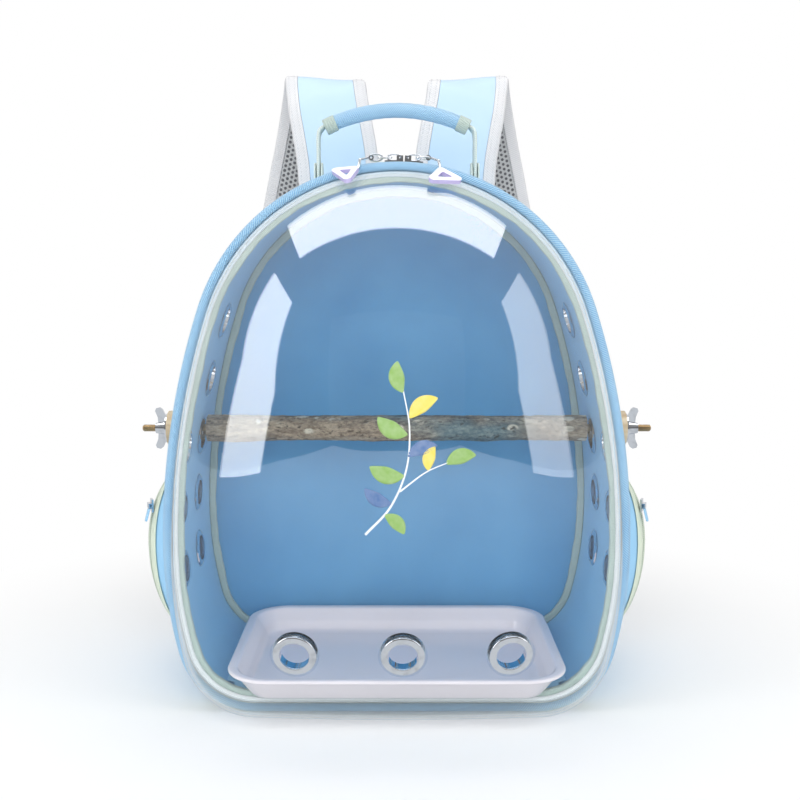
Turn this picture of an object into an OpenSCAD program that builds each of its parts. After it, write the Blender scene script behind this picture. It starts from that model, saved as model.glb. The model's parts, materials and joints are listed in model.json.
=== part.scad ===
// Bird travel carrier: a soft backpack shell with a clear zipped dome door, a branch perch and a feeding tray.
// Origin: middle of the flat underside of the shell. +Z up, -Y towards the dome, +X right seen from the front.

/* [Shell] */
// Width over the front piping
carrier_w = 340; // [330:1:360]
// Height over the front piping
carrier_h = 400; // [390:1:420]
// Distance from the front rim plane to the back of the shell
body_depth = 160; // [150:1:190]
// Height of the widest place of the outline
widest_z = 122; // [110:1:135]
// Radius of the crown
crown_r = 149; // [146:1:153]
// Radius of the lower corners
corner_r = 58; // [54:1:62]
// Half the width of the straight bottom edge
floor_half = 104; // [100:1:108]
// Thickness of the side wall
wall_t = 3; // [2:0.5:4]
// Thickness of the back panel
back_t = 4; // [3:0.5:6]
// Thickness of the loose floor pad
floor_pad_t = 8.2; // [6.6:0.2:9]

/* [Rim and zip] */
// Diameter of the piping beads
bead_d = 6; // [5:0.5:6]
// Width of each zip tape
tape_w = 6.8; // [6:0.2:9]
// Thickness of each zip tape
tape_t = 1; // [0.8:0.1:1.2]
// Height of the zip coil above its tape
coil_t = 2.2; // [1.8:0.1:2.4]
// Width of each half of the zip coil
coil_w = 1.85; // [1.6:0.05:2]
// Length of the fabric hinge on the left edge of the door
hinge_len = 112; // [80:1:130]
// Width of the white welt inside the rim
welt_w = 2.4; // [2:0.1:3]
// Width of the binding inside the rim
binding_w = 4.8; // [4:0.1:5]

/* [Dome] */
// How far the dome stands in front of the rim plane
dome_depth = 95; // [85:1:105]
// Thickness of the clear dome
dome_t = 1.8; // [1.4:0.1:2]
// Length of the skirt that is sewn into the door frame
skirt_len = 8; // [7:0.5:8.5]
// Height of the three vents in the dome
vent_z = 74; // [68:1:80]
// Distance between neighbouring vents in the dome
vent_pitch = 71; // [60:1:80]
// Offset of the vent row to the right
vent_shift = 4; // [0:1:6]

/* [Eyelets] */
// Clear bore of an eyelet
eyelet_bore = 20; // [16:0.5:22]
// Diameter of an eyelet's flange
eyelet_od = 30; // [28:0.5:32]
// Thickness of the eyelet metal
eyelet_t = 1.2; // [0.8:0.1:1.4]
// Height of the lowest eyelets in the side walls
eyelet_z0 = 98; // [95:1:102]
// Spacing of the eyelets up the side walls
eyelet_pitch = 47; // [45:1:48]
// Place of the long eyelet column, measured from the middle of the shell
long_col_y = 18; // [8:1:30]
// Place of the short eyelet column, measured from the middle of the shell
short_col_y = -42.5; // [-42.5:0.5:-40]

/* [Perch] */
// Diameter of the branch
perch_d = 22; // [18:1:24]
// Height of the perch above the middle of its eyelet
perch_rise = 6; // [4:0.5:6]
// Diameter of the threaded studs in the branch ends
stud_d = 6; // [5:0.5:6]
// Distance from the middle of the carrier to the tip of each stud
stud_reach = 206.7; // [204:0.5:215]
// Distance from the middle of the carrier to the outer face of the wooden collars
collar_reach = 185.2; // [183:0.5:187]
// Diameter of the wooden collars
collar_d = 28; // [26:1:28]
// Diameter of the washers
washer_d = 24; // [20:1:26]
// Thickness of the washers
washer_t = 1.6; // [1:0.1:2]
// Span of the wings of a wing nut
wing_span = 34; // [28:1:36]
// Length of a wing nut along its stud
nut_len = 9; // [8:0.5:10]

/* [Side pockets] */
// Bottom edge of the pockets
pocket_z0 = 46; // [46:1:60]
// Front edge of the pockets, just behind the zip tape
pocket_y0 = -60; // [-60:0.5:-59]
// Back edge of the pockets
pocket_y1 = 58; // [50:1:66]
// How far a pocket bulges from the wall
pocket_bulge = 25; // [15:1:28]

/* [Feeding tray] */
// Width of the tray over its rim
tray_w = 250; // [220:1:256]
// Depth of the tray over its rim
tray_depth = 172; // [150:1:176]
// Height of the tray
tray_h = 20.2; // [16:0.2:30]
// Wall thickness of the tray
tray_t = 2; // [1.6:0.2:3]
// Distance of the front of the tray in front of the rim plane
tray_front = 30; // [20:1:32]

/* [Handle] */
// Half the distance between the two legs of the handle
handle_half = 58; // [54:1:62]
// Height of the middle of the grip
grip_z = 442.5; // [438:0.5:455]
// Thickness of the padded grip
grip_d = 10.8; // [9:0.2:14]
// Width of the handle webbing
leg_w = 18; // [14:1:20]
// Thickness of the handle webbing
leg_t = 3; // [2:0.5:3]
// Distance of the handle in front of the middle of the shell
handle_fwd = 30; // [25:1:32]

/* [Shoulder straps] */
// Width of the padded straps
strap_w = 68; // [55:1:72]
// Thickness of the padded straps
strap_t = 9; // [6:0.5:10]
// Width of the adjusting webbing
web_w = 25; // [20:1:30]
// Thickness of the adjusting webbing
web_t = 2; // [1.5:0.5:3]
// Thickness of the padding on the back
pad_t = 12; // [8:1:14]

/* [Hidden] */
$fn = 48;

eps = 0.01;
// Gap between soft neighbours, and between parts that slide or swing past each other
gap = 0.3;
// Radial clearance of a nut on its stud
thread_gap = 0.05;

// Outline arcs, all tangent to each other
half_w = carrier_w / 2;
crown_cz = carrier_h - crown_r;
side_r = (half_w ^ 2 + (crown_cz - widest_z) ^ 2 - crown_r ^ 2) / (2 * (half_w - crown_r));
side_angle = atan2(crown_cz - widest_z, side_r - half_w);
corner_dx = half_w - floor_half;
lower_r = (corner_dx ^ 2 + (widest_z - corner_r) ^ 2 - corner_r ^ 2) / (2 * (corner_dx - corner_r));
lower_angle = atan2(widest_z - corner_r, lower_r - corner_dx);

// Depths, insets from the outline are negative
bead_r = bead_d / 2;
rim_y = -body_depth / 2;
back_y = body_depth / 2;
frame_y0 = rim_y + bead_r;
zip_y = rim_y + bead_r + tape_w + 0.2;
zip_gap = 0.45;
tape_in = -(coil_t + 0.2);
wall_out = tape_in - tape_t;
wall_in = wall_out - wall_t;
wall_y0 = zip_y + 4;
wall_y1 = back_y - bead_d;
lap_y = zip_y + 9.5;
dome_out = -bead_d - 0.2;
dome_in = dome_out - dome_t;
welt_in = dome_in - welt_w;
binding_in = dome_in - binding_w;
binding_y = frame_y0 + 5;
frame_y1 = frame_y0 + 4.5;
panel_edge = wall_in + 0.2;
panel_y1 = wall_y1 + back_t;

// Fabric hinge of the door
hinge_z = widest_z;
hinge_t = 1.5;

// Dome
dome_cz = 180;
dome_round = 2.2;
dome_top = 1.5;
dome_side = 1.75;
dome_bottom = 3.3;
dome_rings = 11;

// Eyelets
barrel_r = eyelet_bore / 2 + 0.7;
inner_seat = wall_t / 2 + (eyelet_od / 2) ^ 2 / (2 * lower_r) + 0.1;
outer_seat = wall_t / 2 + 0.05;
eyelet_lip = 1.6;
long_col = [for (i = [0:4]) eyelet_z0 + i * eyelet_pitch];
short_col = [for (i = [0:2]) eyelet_z0 + i * eyelet_pitch];

// Perch
perch_z = eyelet_z0 + 2 * eyelet_pitch + perch_rise;
perch_y = long_col_y;
stud_r = stud_d / 2;
stud_root = stud_r - 0.6;
stud_depth = 26;
washer_x = collar_reach + 0.05;
nut_x = washer_x + washer_t + 0.05;
nut_r = 5.5;
wing_t = 2.4;

// Pockets
pocket_z1 = eyelet_z0 + 2 * eyelet_pitch - eyelet_od / 2 - 1;
pocket_edge = 2;
pocket_seam = 0.965;
pocket_steps = 10;
pocket_recess = eyelet_lip + 0.5;
pocket_zip_u = [-0.84, -0.56];
pocket_zip_v = 0.93;
pocket_zip_t = 0.9;
pocket_slider_v = 0.55;
pocket_slider_h = 3.2;
pocket_bar_up = 2.4;
pocket_tag_len = 21;
pocket_tag_tilt = 15;

// Floor and tray
floor_top = -wall_in + floor_pad_t;
tray_z0 = floor_top + 0.1;
tray_z1 = tray_z0 + tray_h;
tray_r = 33;
tray_lip = 5;
tray_draft = 14;
tray_mid_y = rim_y - tray_front + tray_depth / 2;

// Handle
handle_y = -handle_fwd;
grip_r = grip_d / 2;
arch_end = [handle_half - 5, grip_z - 12.5];
arch_r = (arch_end[0] ^ 2 + (grip_z - arch_end[1]) ^ 2) / (2 * (grip_z - arch_end[1]));
arch_angle = asin(arch_end[0] / arch_r);
wrap_span = 4;
patch_t = 1.2;
leg_end_r = leg_w / 2;
leg_x = handle_half - leg_t / 2;
handle_axis_z = crown_z(leg_x, wall_out) + patch_t + leg_end_r + gap;

// Zip sliders and pulls: they are parked a little right of the crown's middle
pull_mid = 5;
slider_len = 13;
slider_w = 9;
slider_t = 1.4;
slider_post_t = 0.5;
slider_top = 0.15;
slider_low = wall_out - gap - 0.15 - slider_t;
pivot_in = 2.1;
pivot_up = slider_top + slider_t + 2.1;
pivot_gap = 0.08;
left_chain_len = 20.5;
right_chain_len = 14.5;
wire_d = 1.4;
link_w = 3.8;
tab_side = 23;
tab_len = 16;
tab_t = 3;
tab_lean = 12;
tab_fwd = bead_r + 6.5;
tab_drop = 3.2;
tab_wire_d = 1.8;
left_tab_tilt = 31;
right_tab_tilt = 36;

// Straps: the middle line of the right strap, from the top seam over the shoulder bend to the buckle
strap_y0 = panel_y1 + 2.3 + strap_t / 2;
strap_route = [[47, strap_y0, 351], [48, strap_y0, 372], [49, strap_y0, 396], [51, strap_y0 + 2, 421],
    [55, strap_y0 + 7, 445], [59, strap_y0 + 14, 466], [61, strap_y0 + 22, 480], [63, strap_y0 + 33, 488],
    [65, strap_y0 + 45, 487], [68, strap_y0 + 56, 477], [72, strap_y0 + 64, 458],
    [78, strap_y0 + 70, 431], [86, strap_y0 + 74, 396], [94, strap_y0 + 75, 355],
    [100, strap_y0 + 73, 310], [104, strap_y0 + 67, 262], [106, strap_y0 + 57, 218]];
strap_cant = 5;
strap_end = strap_route[len(strap_route) - 1];
web_tab_y = panel_y1 + 3.1 + web_t / 2;
web_tab_x = 130;
web_route = [[106, strap_end[1] - 3, 205], [107, strap_end[1] - 9, 182], [112, strap_end[1] - 22, 145],
    [119, strap_end[1] - 38, 104], [127, web_tab_y + 6, 70], [web_tab_x, web_tab_y, 56],
    [web_tab_x, web_tab_y, 36]];

blue = [0.55, 0.78, 0.93];
deep_blue = [0.33, 0.58, 0.76];
sage = [0.72, 0.80, 0.74];
bark = [0.45, 0.38, 0.31];
metal = [0.80, 0.81, 0.83];

// Points along an arc, without its last point
function arc(cx, cz, r, from, to, steps) =
    [for (i = [0:steps - 1]) let(a = from + (to - from) * i / steps) [cx + r * cos(a), cz + r * sin(a)]];

// The shell's outline grown by d, as one loop that starts at the right end of the bottom edge
function outline(d) = concat(
    arc(floor_half, corner_r, corner_r + d, -90, -lower_angle, 10),
    arc(half_w - lower_r, widest_z, lower_r + d, -lower_angle, 0, 4),
    arc(half_w - side_r, widest_z, side_r + d, 0, side_angle, 6),
    arc(0, crown_cz, crown_r + d, side_angle, 180 - side_angle, 28),
    arc(side_r - half_w, widest_z, side_r + d, 180 - side_angle, 180, 6),
    arc(lower_r - half_w, widest_z, lower_r + d, 180, 180 + lower_angle, 4),
    arc(-floor_half, corner_r, corner_r + d, 180 + lower_angle, 270, 10),
    [[-floor_half, -d]]);

// Half the width of the grown outline at height z, on its side arcs
function side_x(z, d) = z >= widest_z
    ? half_w - side_r + sqrt((side_r + d) ^ 2 - (z - widest_z) ^ 2)
    : half_w - lower_r + sqrt((lower_r + d) ^ 2 - (widest_z - z) ^ 2);

// Height of the grown crown at distance x from the middle
function crown_z(x, d) = crown_cz + sqrt((crown_r + d) ^ 2 - x ^ 2);

// Slope of the side wall at height z: 0 where it is upright
function wall_tilt(z) = z >= widest_z ? asin((z - widest_z) / side_r) : -asin((widest_z - z) / lower_r);

// A slab with the outline grown by d, from y0 to y1
module slab(d, y0, y1) {
    translate([0, y1, 0]) rotate([90, 0, 0]) linear_extrude(y1 - y0) polygon(outline(d));
}

// A band that follows the outline, between two insets and two depths
module band(d_out, d_in, y0, y1) {
    difference() {
        slab(d_out, y0, y1);
        slab(d_in, y0 - 1, y1 + 1);
    }
}

// Places its child on the middle of the side wall, with +Z outwards
module on_wall(side, y, z) {
    tilt = wall_tilt(z);
    x = side_x(z, (wall_out + wall_in) / 2);
    translate([side * x, y, z]) rotate([0, side * (90 - tilt), 0]) children();
}

// A closed solid through a list of rings with the same number of points, with a fan at each end
module loft(rings, flip = false) {
    n = len(rings[0]);
    m = len(rings);
    middle = function(ring) [for (k = [0:2]) [for (p = ring) p[k]] * [for (p = ring) 1] / n];
    points = concat([for (ring = rings) each ring], [middle(rings[0]), middle(rings[m - 1])]);
    faces = concat(
        [for (j = [0:m - 2], i = [0:n - 1]) let(a = j * n + i, b = j * n + (i + 1) % n) [a, b, b + n]],
        [for (j = [0:m - 2], i = [0:n - 1]) let(a = j * n + i, b = j * n + (i + 1) % n) [a, b + n, a + n]],
        [for (i = [0:n - 1]) [m * n, (i + 1) % n, i]],
        [for (i = [0:n - 1]) [m * n + 1, (m - 1) * n + i, (m - 1) * n + (i + 1) % n]]);
    polyhedron(points, flip ? [for (f = faces) [f[2], f[1], f[0]]] : faces);
}

// A closed hoop through a list of rings, the last joined to the first
module hoop(rings) {
    n = len(rings[0]);
    m = len(rings);
    faces = concat(
        [for (j = [0:m - 1], i = [0:n - 1])
            let(k = (j + 1) % m, l = (i + 1) % n) [j * n + i, k * n + l, j * n + l]],
        [for (j = [0:m - 1], i = [0:n - 1])
            let(k = (j + 1) % m, l = (i + 1) % n) [j * n + i, k * n + i, k * n + l]]);
    polyhedron([for (ring = rings) each ring], faces);
}

// A round bead along the outline, with its middle at inset d and depth y
module bead(d, y, r, sides = 8) {
    loops = [for (i = [0:sides - 1]) let(a = 360 * (i + 0.5) / sides) [r * cos(a), r * sin(a)]];
    paths = [for (c = loops) [for (p = outline(d + c[0])) [p[0], y + c[1], p[1]]]];
    hoop([for (i = [0:len(paths[0]) - 1]) [for (path = paths) path[i]]]);
}

// A padded ribbon of width w along a route, crowned to thickness t and drawn in at its edges
module ribbon(route, w, t) {
    last = len(route) - 1;
    half = [[w / 2, t * 0.2], [w * 0.44, t * 0.38], [w * 0.26, t * 0.5], [-w * 0.26, t * 0.5],
        [-w * 0.44, t * 0.38], [-w / 2, t * 0.2]];
    corners = concat([for (c = half) [-c[0], -c[1]]], half);
    loft([for (i = [0:last])
        let(d = route[min(i + 1, last)] - route[max(i - 1, 0)],
            across = [d[2], 0, -d[0]] / norm([d[2], 0, -d[0]]),
            u = abs(d[2]) < 0.5 * norm(d) ? [cos(strap_cant), 0, sin(strap_cant)] : across * sign(d[2]),
            v = cross(u, d) / norm(cross(u, d)))
        [for (c = corners) route[i] + u * c[0] + v * c[1]]]);
}

// A round rod between two points
module rod(a, b, d) {
    v = b - a;
    translate(a) rotate([0, acos(v[2] / norm(v)), atan2(v[1], v[0])])
        cylinder(d = d, h = norm(v), $fn = 16);
}

// Mirrors its child for side -1
module on_side(side) {
    if (side > 0) children();
    else mirror([1, 0, 0]) children();
}

// SHELL

module side_wall() {
    color(blue) difference() {
        band(wall_out, wall_in, wall_y0, wall_y1);
        for (side = [-1, 1]) {
            for (z = long_col) on_wall(side, long_col_y, z) eyelet_hole();
            for (z = short_col) on_wall(side, short_col_y, z) eyelet_hole();
        }
    }
}

module eyelet_hole() {
    translate([0, 0, -wall_t * 2]) cylinder(r = barrel_r + 0.1, h = wall_t * 4);
}

module back_panel() {
    color(deep_blue) slab(panel_edge, wall_y1, panel_y1);
}

module back_piping() {
    color(blue) bead(-bead_r, back_y - bead_r + 0.05, bead_r);
}

module back_binding() {
    color(sage) band(wall_in, wall_in - 4.6, wall_y1 - 4.5, wall_y1);
}

// The flat reinforcement that the carrier stands on
module base_panel() {
    color(deep_blue) translate([-floor_half + 4, lap_y + 2, 0])
        cube([2 * floor_half - 8, wall_y1 - lap_y - 4, -wall_out]);
}

module floor_pad() {
    color(blue) intersection() {
        slab(wall_in - 0.1, wall_y0 + 1, wall_y1 - 5);
        translate([-half_w, rim_y, 0]) cube([carrier_w, body_depth, floor_top]);
    }
}

// Space that the fabric hinge takes out of the zip
module hinge_space(grow = 0) {
    translate([-half_w - 10, rim_y, hinge_z - hinge_len / 2 - grow])
        cube([40, body_depth / 2, hinge_len + 2 * grow]);
}

module zip_ring(d_out, d_in, y0, y1) {
    difference() {
        band(d_out, d_in, y0, y1);
        hinge_space(gap);
    }
}

module zip_tape_body() {
    color(sage) zip_ring(tape_in, wall_out, zip_y + zip_gap, lap_y);
}

module zip_coil_body() {
    color([0.55, 0.66, 0.60]) zip_ring(-0.2, tape_in, zip_y + zip_gap, zip_y + zip_gap + coil_w);
}

module hinge_leaf_body() {
    color(blue) intersection() {
        band(wall_out + hinge_t, wall_out, zip_y + zip_gap, lap_y);
        hinge_space();
    }
}

// EYELETS

// Barrel and rolled inner flange, +Z outwards, the wall's middle at z = 0
module eyelet(inner, outer) {
    rotate_extrude() polygon([[eyelet_bore / 2, -inner - eyelet_t],
        [eyelet_bore / 2 + 1.5, -inner - eyelet_lip],
        [eyelet_od / 2 - 1.2, -inner - eyelet_t * 0.7], [eyelet_od / 2, -inner],
        [barrel_r, -inner], [barrel_r, outer + eyelet_t - 0.2], [eyelet_bore / 2, outer + eyelet_t - 0.2]]);
}

// The ring that the barrel is rolled over, outside the wall
module eyelet_washer(outer) {
    rotate_extrude() polygon([[barrel_r, outer], [eyelet_od / 2, outer],
        [eyelet_od / 2 - 1.2, outer + eyelet_t * 0.7],
        [barrel_r + 1, outer + eyelet_lip], [barrel_r, outer + eyelet_t]]);
}

module side_eyelets(side) {
    color(metal) {
        for (z = long_col) on_wall(side, long_col_y, z) eyelet(inner_seat, outer_seat);
        for (z = short_col) on_wall(side, short_col_y, z) eyelet(inner_seat, outer_seat);
    }
}

module side_eyelet_washers(side) {
    color(metal) {
        for (z = long_col) on_wall(side, long_col_y, z) eyelet_washer(outer_seat);
        for (z = short_col) on_wall(side, short_col_y, z) eyelet_washer(outer_seat);
    }
}

// PERCH

// Half the length of the branch: it ends just inside the eyelets' flanges
perch_half = side_x(perch_z + perch_d / 2, wall_in) - inner_seat + wall_t / 2 - eyelet_lip - gap - 0.6;

module perch_branch() {
    color(bark) difference() {
        translate([-perch_half, perch_y, perch_z]) rotate([0, 90, 0])
            cylinder(d = perch_d, h = 2 * perch_half);
        for (side = [-1, 1]) on_side(side) translate([perch_half - stud_depth, perch_y, perch_z])
            rotate([0, 90, 0]) cylinder(r = stud_root + thread_gap, h = stud_depth + 1);
    }
}

module perch_stud(side) {
    shank = stud_reach - perch_half + stud_depth - 0.5 - 0.8;
    color([0.72, 0.58, 0.38]) on_side(side) translate([perch_half - stud_depth + 0.5, perch_y, perch_z])
        rotate([0, 90, 0]) union() {
            cylinder(r = stud_root, h = shank);
            translate([0, 0, shank - eps]) cylinder(r1 = stud_root, r2 = stud_root - 0.8, h = 0.8);
        }
}

module perch_collar(side) {
    color([0.80, 0.64, 0.46]) on_side(side) difference() {
        translate([half_w - 20, perch_y, perch_z]) rotate([0, 90, 0])
            cylinder(d = collar_d, h = collar_reach - half_w + 20);
        slab(wall_out + eyelet_lip + 0.5, perch_y - collar_d, perch_y + collar_d);
        translate([half_w - 30, perch_y, perch_z]) rotate([0, 90, 0]) cylinder(r = stud_r + gap, h = 60);
    }
}

module washer(side) {
    color(metal) on_side(side) translate([washer_x, perch_y, perch_z]) rotate([0, 90, 0]) difference() {
        cylinder(d = washer_d, h = washer_t);
        translate([0, 0, -1]) cylinder(r = stud_r + 0.2, h = washer_t + 2);
    }
}

module wing_nut(side) {
    color(metal) on_side(side) translate([nut_x, perch_y, perch_z]) rotate([0, 90, 0]) difference() {
        union() {
            cylinder(r = nut_r, h = 2.5);
            translate([0, 0, 2.5]) cylinder(r1 = nut_r, r2 = nut_r - 1.2, h = nut_len - 2.5);
            for (turn = [0, 180]) rotate([0, 0, turn]) translate([0, wing_t / 2, 0]) rotate([90, 0, 0])
                linear_extrude(wing_t) polygon([[nut_r - 2, 0.4], [nut_r + 4, 0.6],
                    [wing_span / 2 - 1.5, 3.4], [wing_span / 2, 5.4], [wing_span / 2 - 0.8, 8.6],
                    [wing_span / 2 - 3, 9.4], [nut_r + 3.5, 7.4], [nut_r - 2, 7]]);
        }
        translate([0, 0, -1]) cylinder(r = stud_r + thread_gap, h = nut_len + 2);
    }
}

// SIDE POCKETS

// Height of the pocket's cloth over the wall at u along the depth and v along the height, each from -1 to 1
function pocket_rise(u, v) =
    pocket_edge + pocket_bulge * max(0, 1 - abs(u) ^ 3.4) ^ 0.8 * max(0, 1 - abs(v) ^ 2.4) ^ 0.9;

// The pocket's back lies on the wall along its edges only, and clears the eyelets inside them
function pocket_back(u, v) = max(abs(u), abs(v)) > 0.99 ? 0 : pocket_recess;

function pocket_y(u) = (pocket_y0 + pocket_y1) / 2 + u * (pocket_y1 - pocket_y0) / 2;

function pocket_z(v) = (pocket_z0 + pocket_z1) / 2 + v * (pocket_z1 - pocket_z0) / 2;

// A point over the right wall, raised by h along its normal
function on_pocket(u, v, h) = let(z = pocket_z(v), tilt = wall_tilt(z))
    [side_x(z, wall_out + 0.15) + h * cos(tilt), pocket_y(u), z + h * sin(tilt)];

// Steps from -1 to 1
function steps(n) = [for (i = [0:n]) -1 + 2 * i / n];

// Grid lines across a pocket, with a seam line close to each edge
pocket_grid = concat(-1, pocket_seam * steps(pocket_steps), 1);

// A closed solid between two grids of points
module sheet(front, back) {
    rows = len(front);
    cols = len(front[0]);
    n = rows * cols;
    cells = [for (j = [0:rows - 2], i = [0:cols - 2]) j * cols + i];
    rim = concat([for (i = [0:cols - 1]) i], [for (j = [1:rows - 1]) j * cols + cols - 1],
        [for (i = [cols - 2:-1:0]) (rows - 1) * cols + i], [for (j = [rows - 2:-1:1]) j * cols]);
    m = len(rim);
    polyhedron(concat([for (row = front) each row], [for (row = back) each row]), concat(
        [for (c = cells) [c, c + cols, c + 1]], [for (c = cells) [c + 1, c + cols, c + cols + 1]],
        [for (c = cells) [n + c, n + c + 1, n + c + cols]],
        [for (c = cells) [n + c + 1, n + c + cols + 1, n + c + cols]],
        [for (k = [0:m - 1]) [rim[k], rim[(k + 1) % m], n + rim[(k + 1) % m]]],
        [for (k = [0:m - 1]) [rim[k], n + rim[(k + 1) % m], n + rim[k]]]));
}

module pocket(side) {
    color([0.60, 0.80, 0.93]) on_side(side) sheet(
        [for (v = pocket_grid) [for (u = pocket_grid) on_pocket(u, v, pocket_rise(u, v))]],
        [for (v = pocket_grid) [for (u = pocket_grid) on_pocket(u, v, pocket_back(u, v))]]);
}

module pocket_zip(side) {
    us = [for (i = [0:3]) pocket_zip_u[0] + (pocket_zip_u[1] - pocket_zip_u[0]) * i / 3];
    vs = [for (v = steps(2 * pocket_steps)) v * pocket_zip_v];
    lift = 0.7;
    color(sage) on_side(side) sheet(
        [for (v = vs) [for (u = us) on_pocket(u, v, pocket_rise(u, v) + lift + pocket_zip_t)]],
        [for (v = vs) [for (u = us) on_pocket(u, v, pocket_rise(u, v) + lift)]]);
}

pocket_slider_u = (pocket_zip_u[0] + pocket_zip_u[1]) / 2;
pocket_slider_up = 1.3;
pocket_slider_at = on_pocket(pocket_slider_u, pocket_slider_v,
    pocket_rise(pocket_slider_u, pocket_slider_v) + 0.7 + pocket_zip_t);
pocket_slope = atan2(pocket_rise(pocket_slider_u + 0.05, pocket_slider_v)
    - pocket_rise(pocket_slider_u - 0.05, pocket_slider_v), 0.05 * (pocket_y1 - pocket_y0));

// Local +Z points out of the pocket at its slider, local +X upwards
module at_pocket_slider(side) {
    on_side(side) translate(pocket_slider_at) rotate([0, 0, -pocket_slope]) rotate([0, 90, 0])
        rotate([0, 0, 180]) children();
}

module pocket_slider(side) {
    color(metal) at_pocket_slider(side) translate([0, 0, pocket_slider_up]) difference() {
        translate([-5, -3.5, 0]) cube([10, 7, pocket_slider_h + 0.6]);
        for (x = [-6, 2]) translate([x, -4.5, 1.4]) cube([4, 9, pocket_slider_h]);
        translate([0, 4, pocket_bar_up]) rotate([90, 0, 0])
            cylinder(r = wire_d / 2 + pivot_gap, h = 8, $fn = 24);
    }
}

// The tag of the pocket slider, resting on the pocket: a bar in the bridge, two legs and a plate
module pocket_pull(side) {
    color(metal) at_pocket_slider(side) translate([0, 0, pocket_slider_up + pocket_bar_up])
        rotate([0, pocket_tag_tilt, 0]) {
            translate([0, 4.4, 0]) rotate([90, 0, 0]) cylinder(d = wire_d, h = 8.8, $fn = 24);
            for (s = [-1, 1]) translate([-8, s * 4.4 - 0.6, -0.6]) cube([8.3, 1.2, 1.2]);
            translate([-pocket_tag_len, -5, -0.8]) cube([pocket_tag_len - 7, 10, 1.6]);
        }
}

// BACK AND STRAPS

module back_pad() {
    insets = [-58, -54, -54, -60, -64];
    levels = [0, 0.35, 0.6, 0.88, 1];
    color([0.62, 0.64, 0.66]) loft([for (i = [0:4])
        [for (p = outline(insets[i])) [p[0], panel_y1 + pad_t * levels[i], p[1]]]]);
}

module strap_pad(side) {
    color([0.78, 0.93, 0.99]) on_side(side) ribbon(strap_route, strap_w, strap_t);
}

module strap_webbing(side) {
    color(sage) on_side(side) ribbon(web_route, web_w, web_t);
}

// A ladder lock: a frame with three bars
module strap_buckle(side) {
    w = web_w + 10;
    color([0.75, 0.78, 0.80]) on_side(side) translate([strap_end[0], strap_end[1] - 1, strap_end[2] - 14])
        rotate([12, 0, 0]) difference() {
            translate([-w / 2, -2.5, -12]) cube([w, 5, 24]);
            for (z = [-9.5, -2, 5.5]) translate([-web_w / 2 - 1, -5, z]) cube([web_w + 2, 10, 4.5]);
        }
}

// The seam patches under the strap tops, and the tabs that hold the webbing
module strap_anchors() {
    color(deep_blue) for (side = [-1, 1]) on_side(side) {
        translate([strap_route[0][0] - strap_w / 2 + 6, panel_y1, strap_route[0][2] + 1])
            cube([strap_w - 12, 2.3, 16]);
        translate([web_tab_x - web_w / 2 - 4, panel_y1, 32]) cube([web_w + 8, 3, 22]);
    }
}

// HANDLE

// A stretch of the arched grip between two angles
module arch(from, to, r) {
    translate([0, handle_y, grip_z - arch_r]) rotate([90, 0, 0]) rotate([0, 0, 90 - to])
        rotate_extrude(angle = to - from, $fn = 96) translate([arch_r, 0]) circle(r = r, $fn = 24);
}

module handle_grip() {
    color(blue) arch(-arch_angle + wrap_span, arch_angle - wrap_span, grip_r);
}

module handle_wraps() {
    color(sage) {
        arch(arch_angle - wrap_span, arch_angle, grip_r + 0.5);
        arch(-arch_angle, -arch_angle + wrap_span, grip_r + 0.5);
    }
}

module handle_webbing() {
    bend = 5;
    in_end = [sin(arch_angle), cos(arch_angle)] * leg_t / 2;
    color([0.80, 0.86, 0.82]) for (side = [-1, 1]) on_side(side) union() {
        translate([0, handle_y + leg_w / 2, 0]) rotate([90, 0, 0]) linear_extrude(leg_w)
            polygon([[leg_x, handle_axis_z], [leg_x + leg_t, handle_axis_z],
                [leg_x + leg_t, arch_end[1] - bend], arch_end + in_end, arch_end - in_end,
                [leg_x, arch_end[1] - bend - 1]]);
        translate([leg_x, handle_y, handle_axis_z]) rotate([0, 90, 0]) cylinder(r = leg_end_r, h = leg_t);
    }
}

// Folded patches on the crown, with an ear on each side of each leg
module handle_anchors() {
    ear = 1.5;
    color(sage) for (side = [-1, 1]) on_side(side) difference() {
        union() {
            for (x = [leg_x - gap - ear, leg_x + leg_t + gap])
                translate([x, handle_y - leg_end_r, crown_z(handle_half + 10, wall_out) - 2])
                    cube([ear, leg_w, handle_axis_z + 4 - crown_z(handle_half + 10, wall_out) + 2]);
            intersection() {
                slab(wall_out + patch_t, handle_y - leg_end_r - 3, handle_y + leg_end_r + 3);
                translate([leg_x - 9, handle_y - leg_w, crown_cz]) cube([leg_t + 18, 2 * leg_w, crown_r]);
            }
        }
        slab(wall_out, handle_y - leg_w, handle_y + leg_w);
    }
}

// DOOR

// Exponent of the dome's section in a direction whose sine is s: steep below, sloping above
function dome_edge(s) =
    s > 0 ? dome_side + (dome_top - dome_side) * s : dome_side + (dome_bottom - dome_side) * s ^ 2;

// A point of the dome on the ray to an outline point, at the share k of the way from rim to tip
function dome_point(p, k, depth) = let(v = [p[0], p[1] - dome_cz], level = sin(90 * k),
    rho = max(0, 1 - level ^ dome_edge(v[1] / norm(v))) ^ (1 / dome_round))
    [v[0] * rho, rim_y - depth * level, dome_cz + v[1] * rho];

function dome_skin(d, depth) = concat(
    [[for (p = outline(d)) [p[0], rim_y + skirt_len, p[1]]]],
    [for (i = [0:dome_rings]) [for (p = outline(d)) dome_point(p, min(i / dome_rings, 0.985), depth)]]);

module dome_shell() {
    outer = dome_skin(dome_out, dome_depth);
    inner = dome_skin(dome_in, dome_depth - dome_t);
    last = len(outer) - 1;
    loft(concat([for (i = [last:-1:0]) outer[i]], inner));
}

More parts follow.
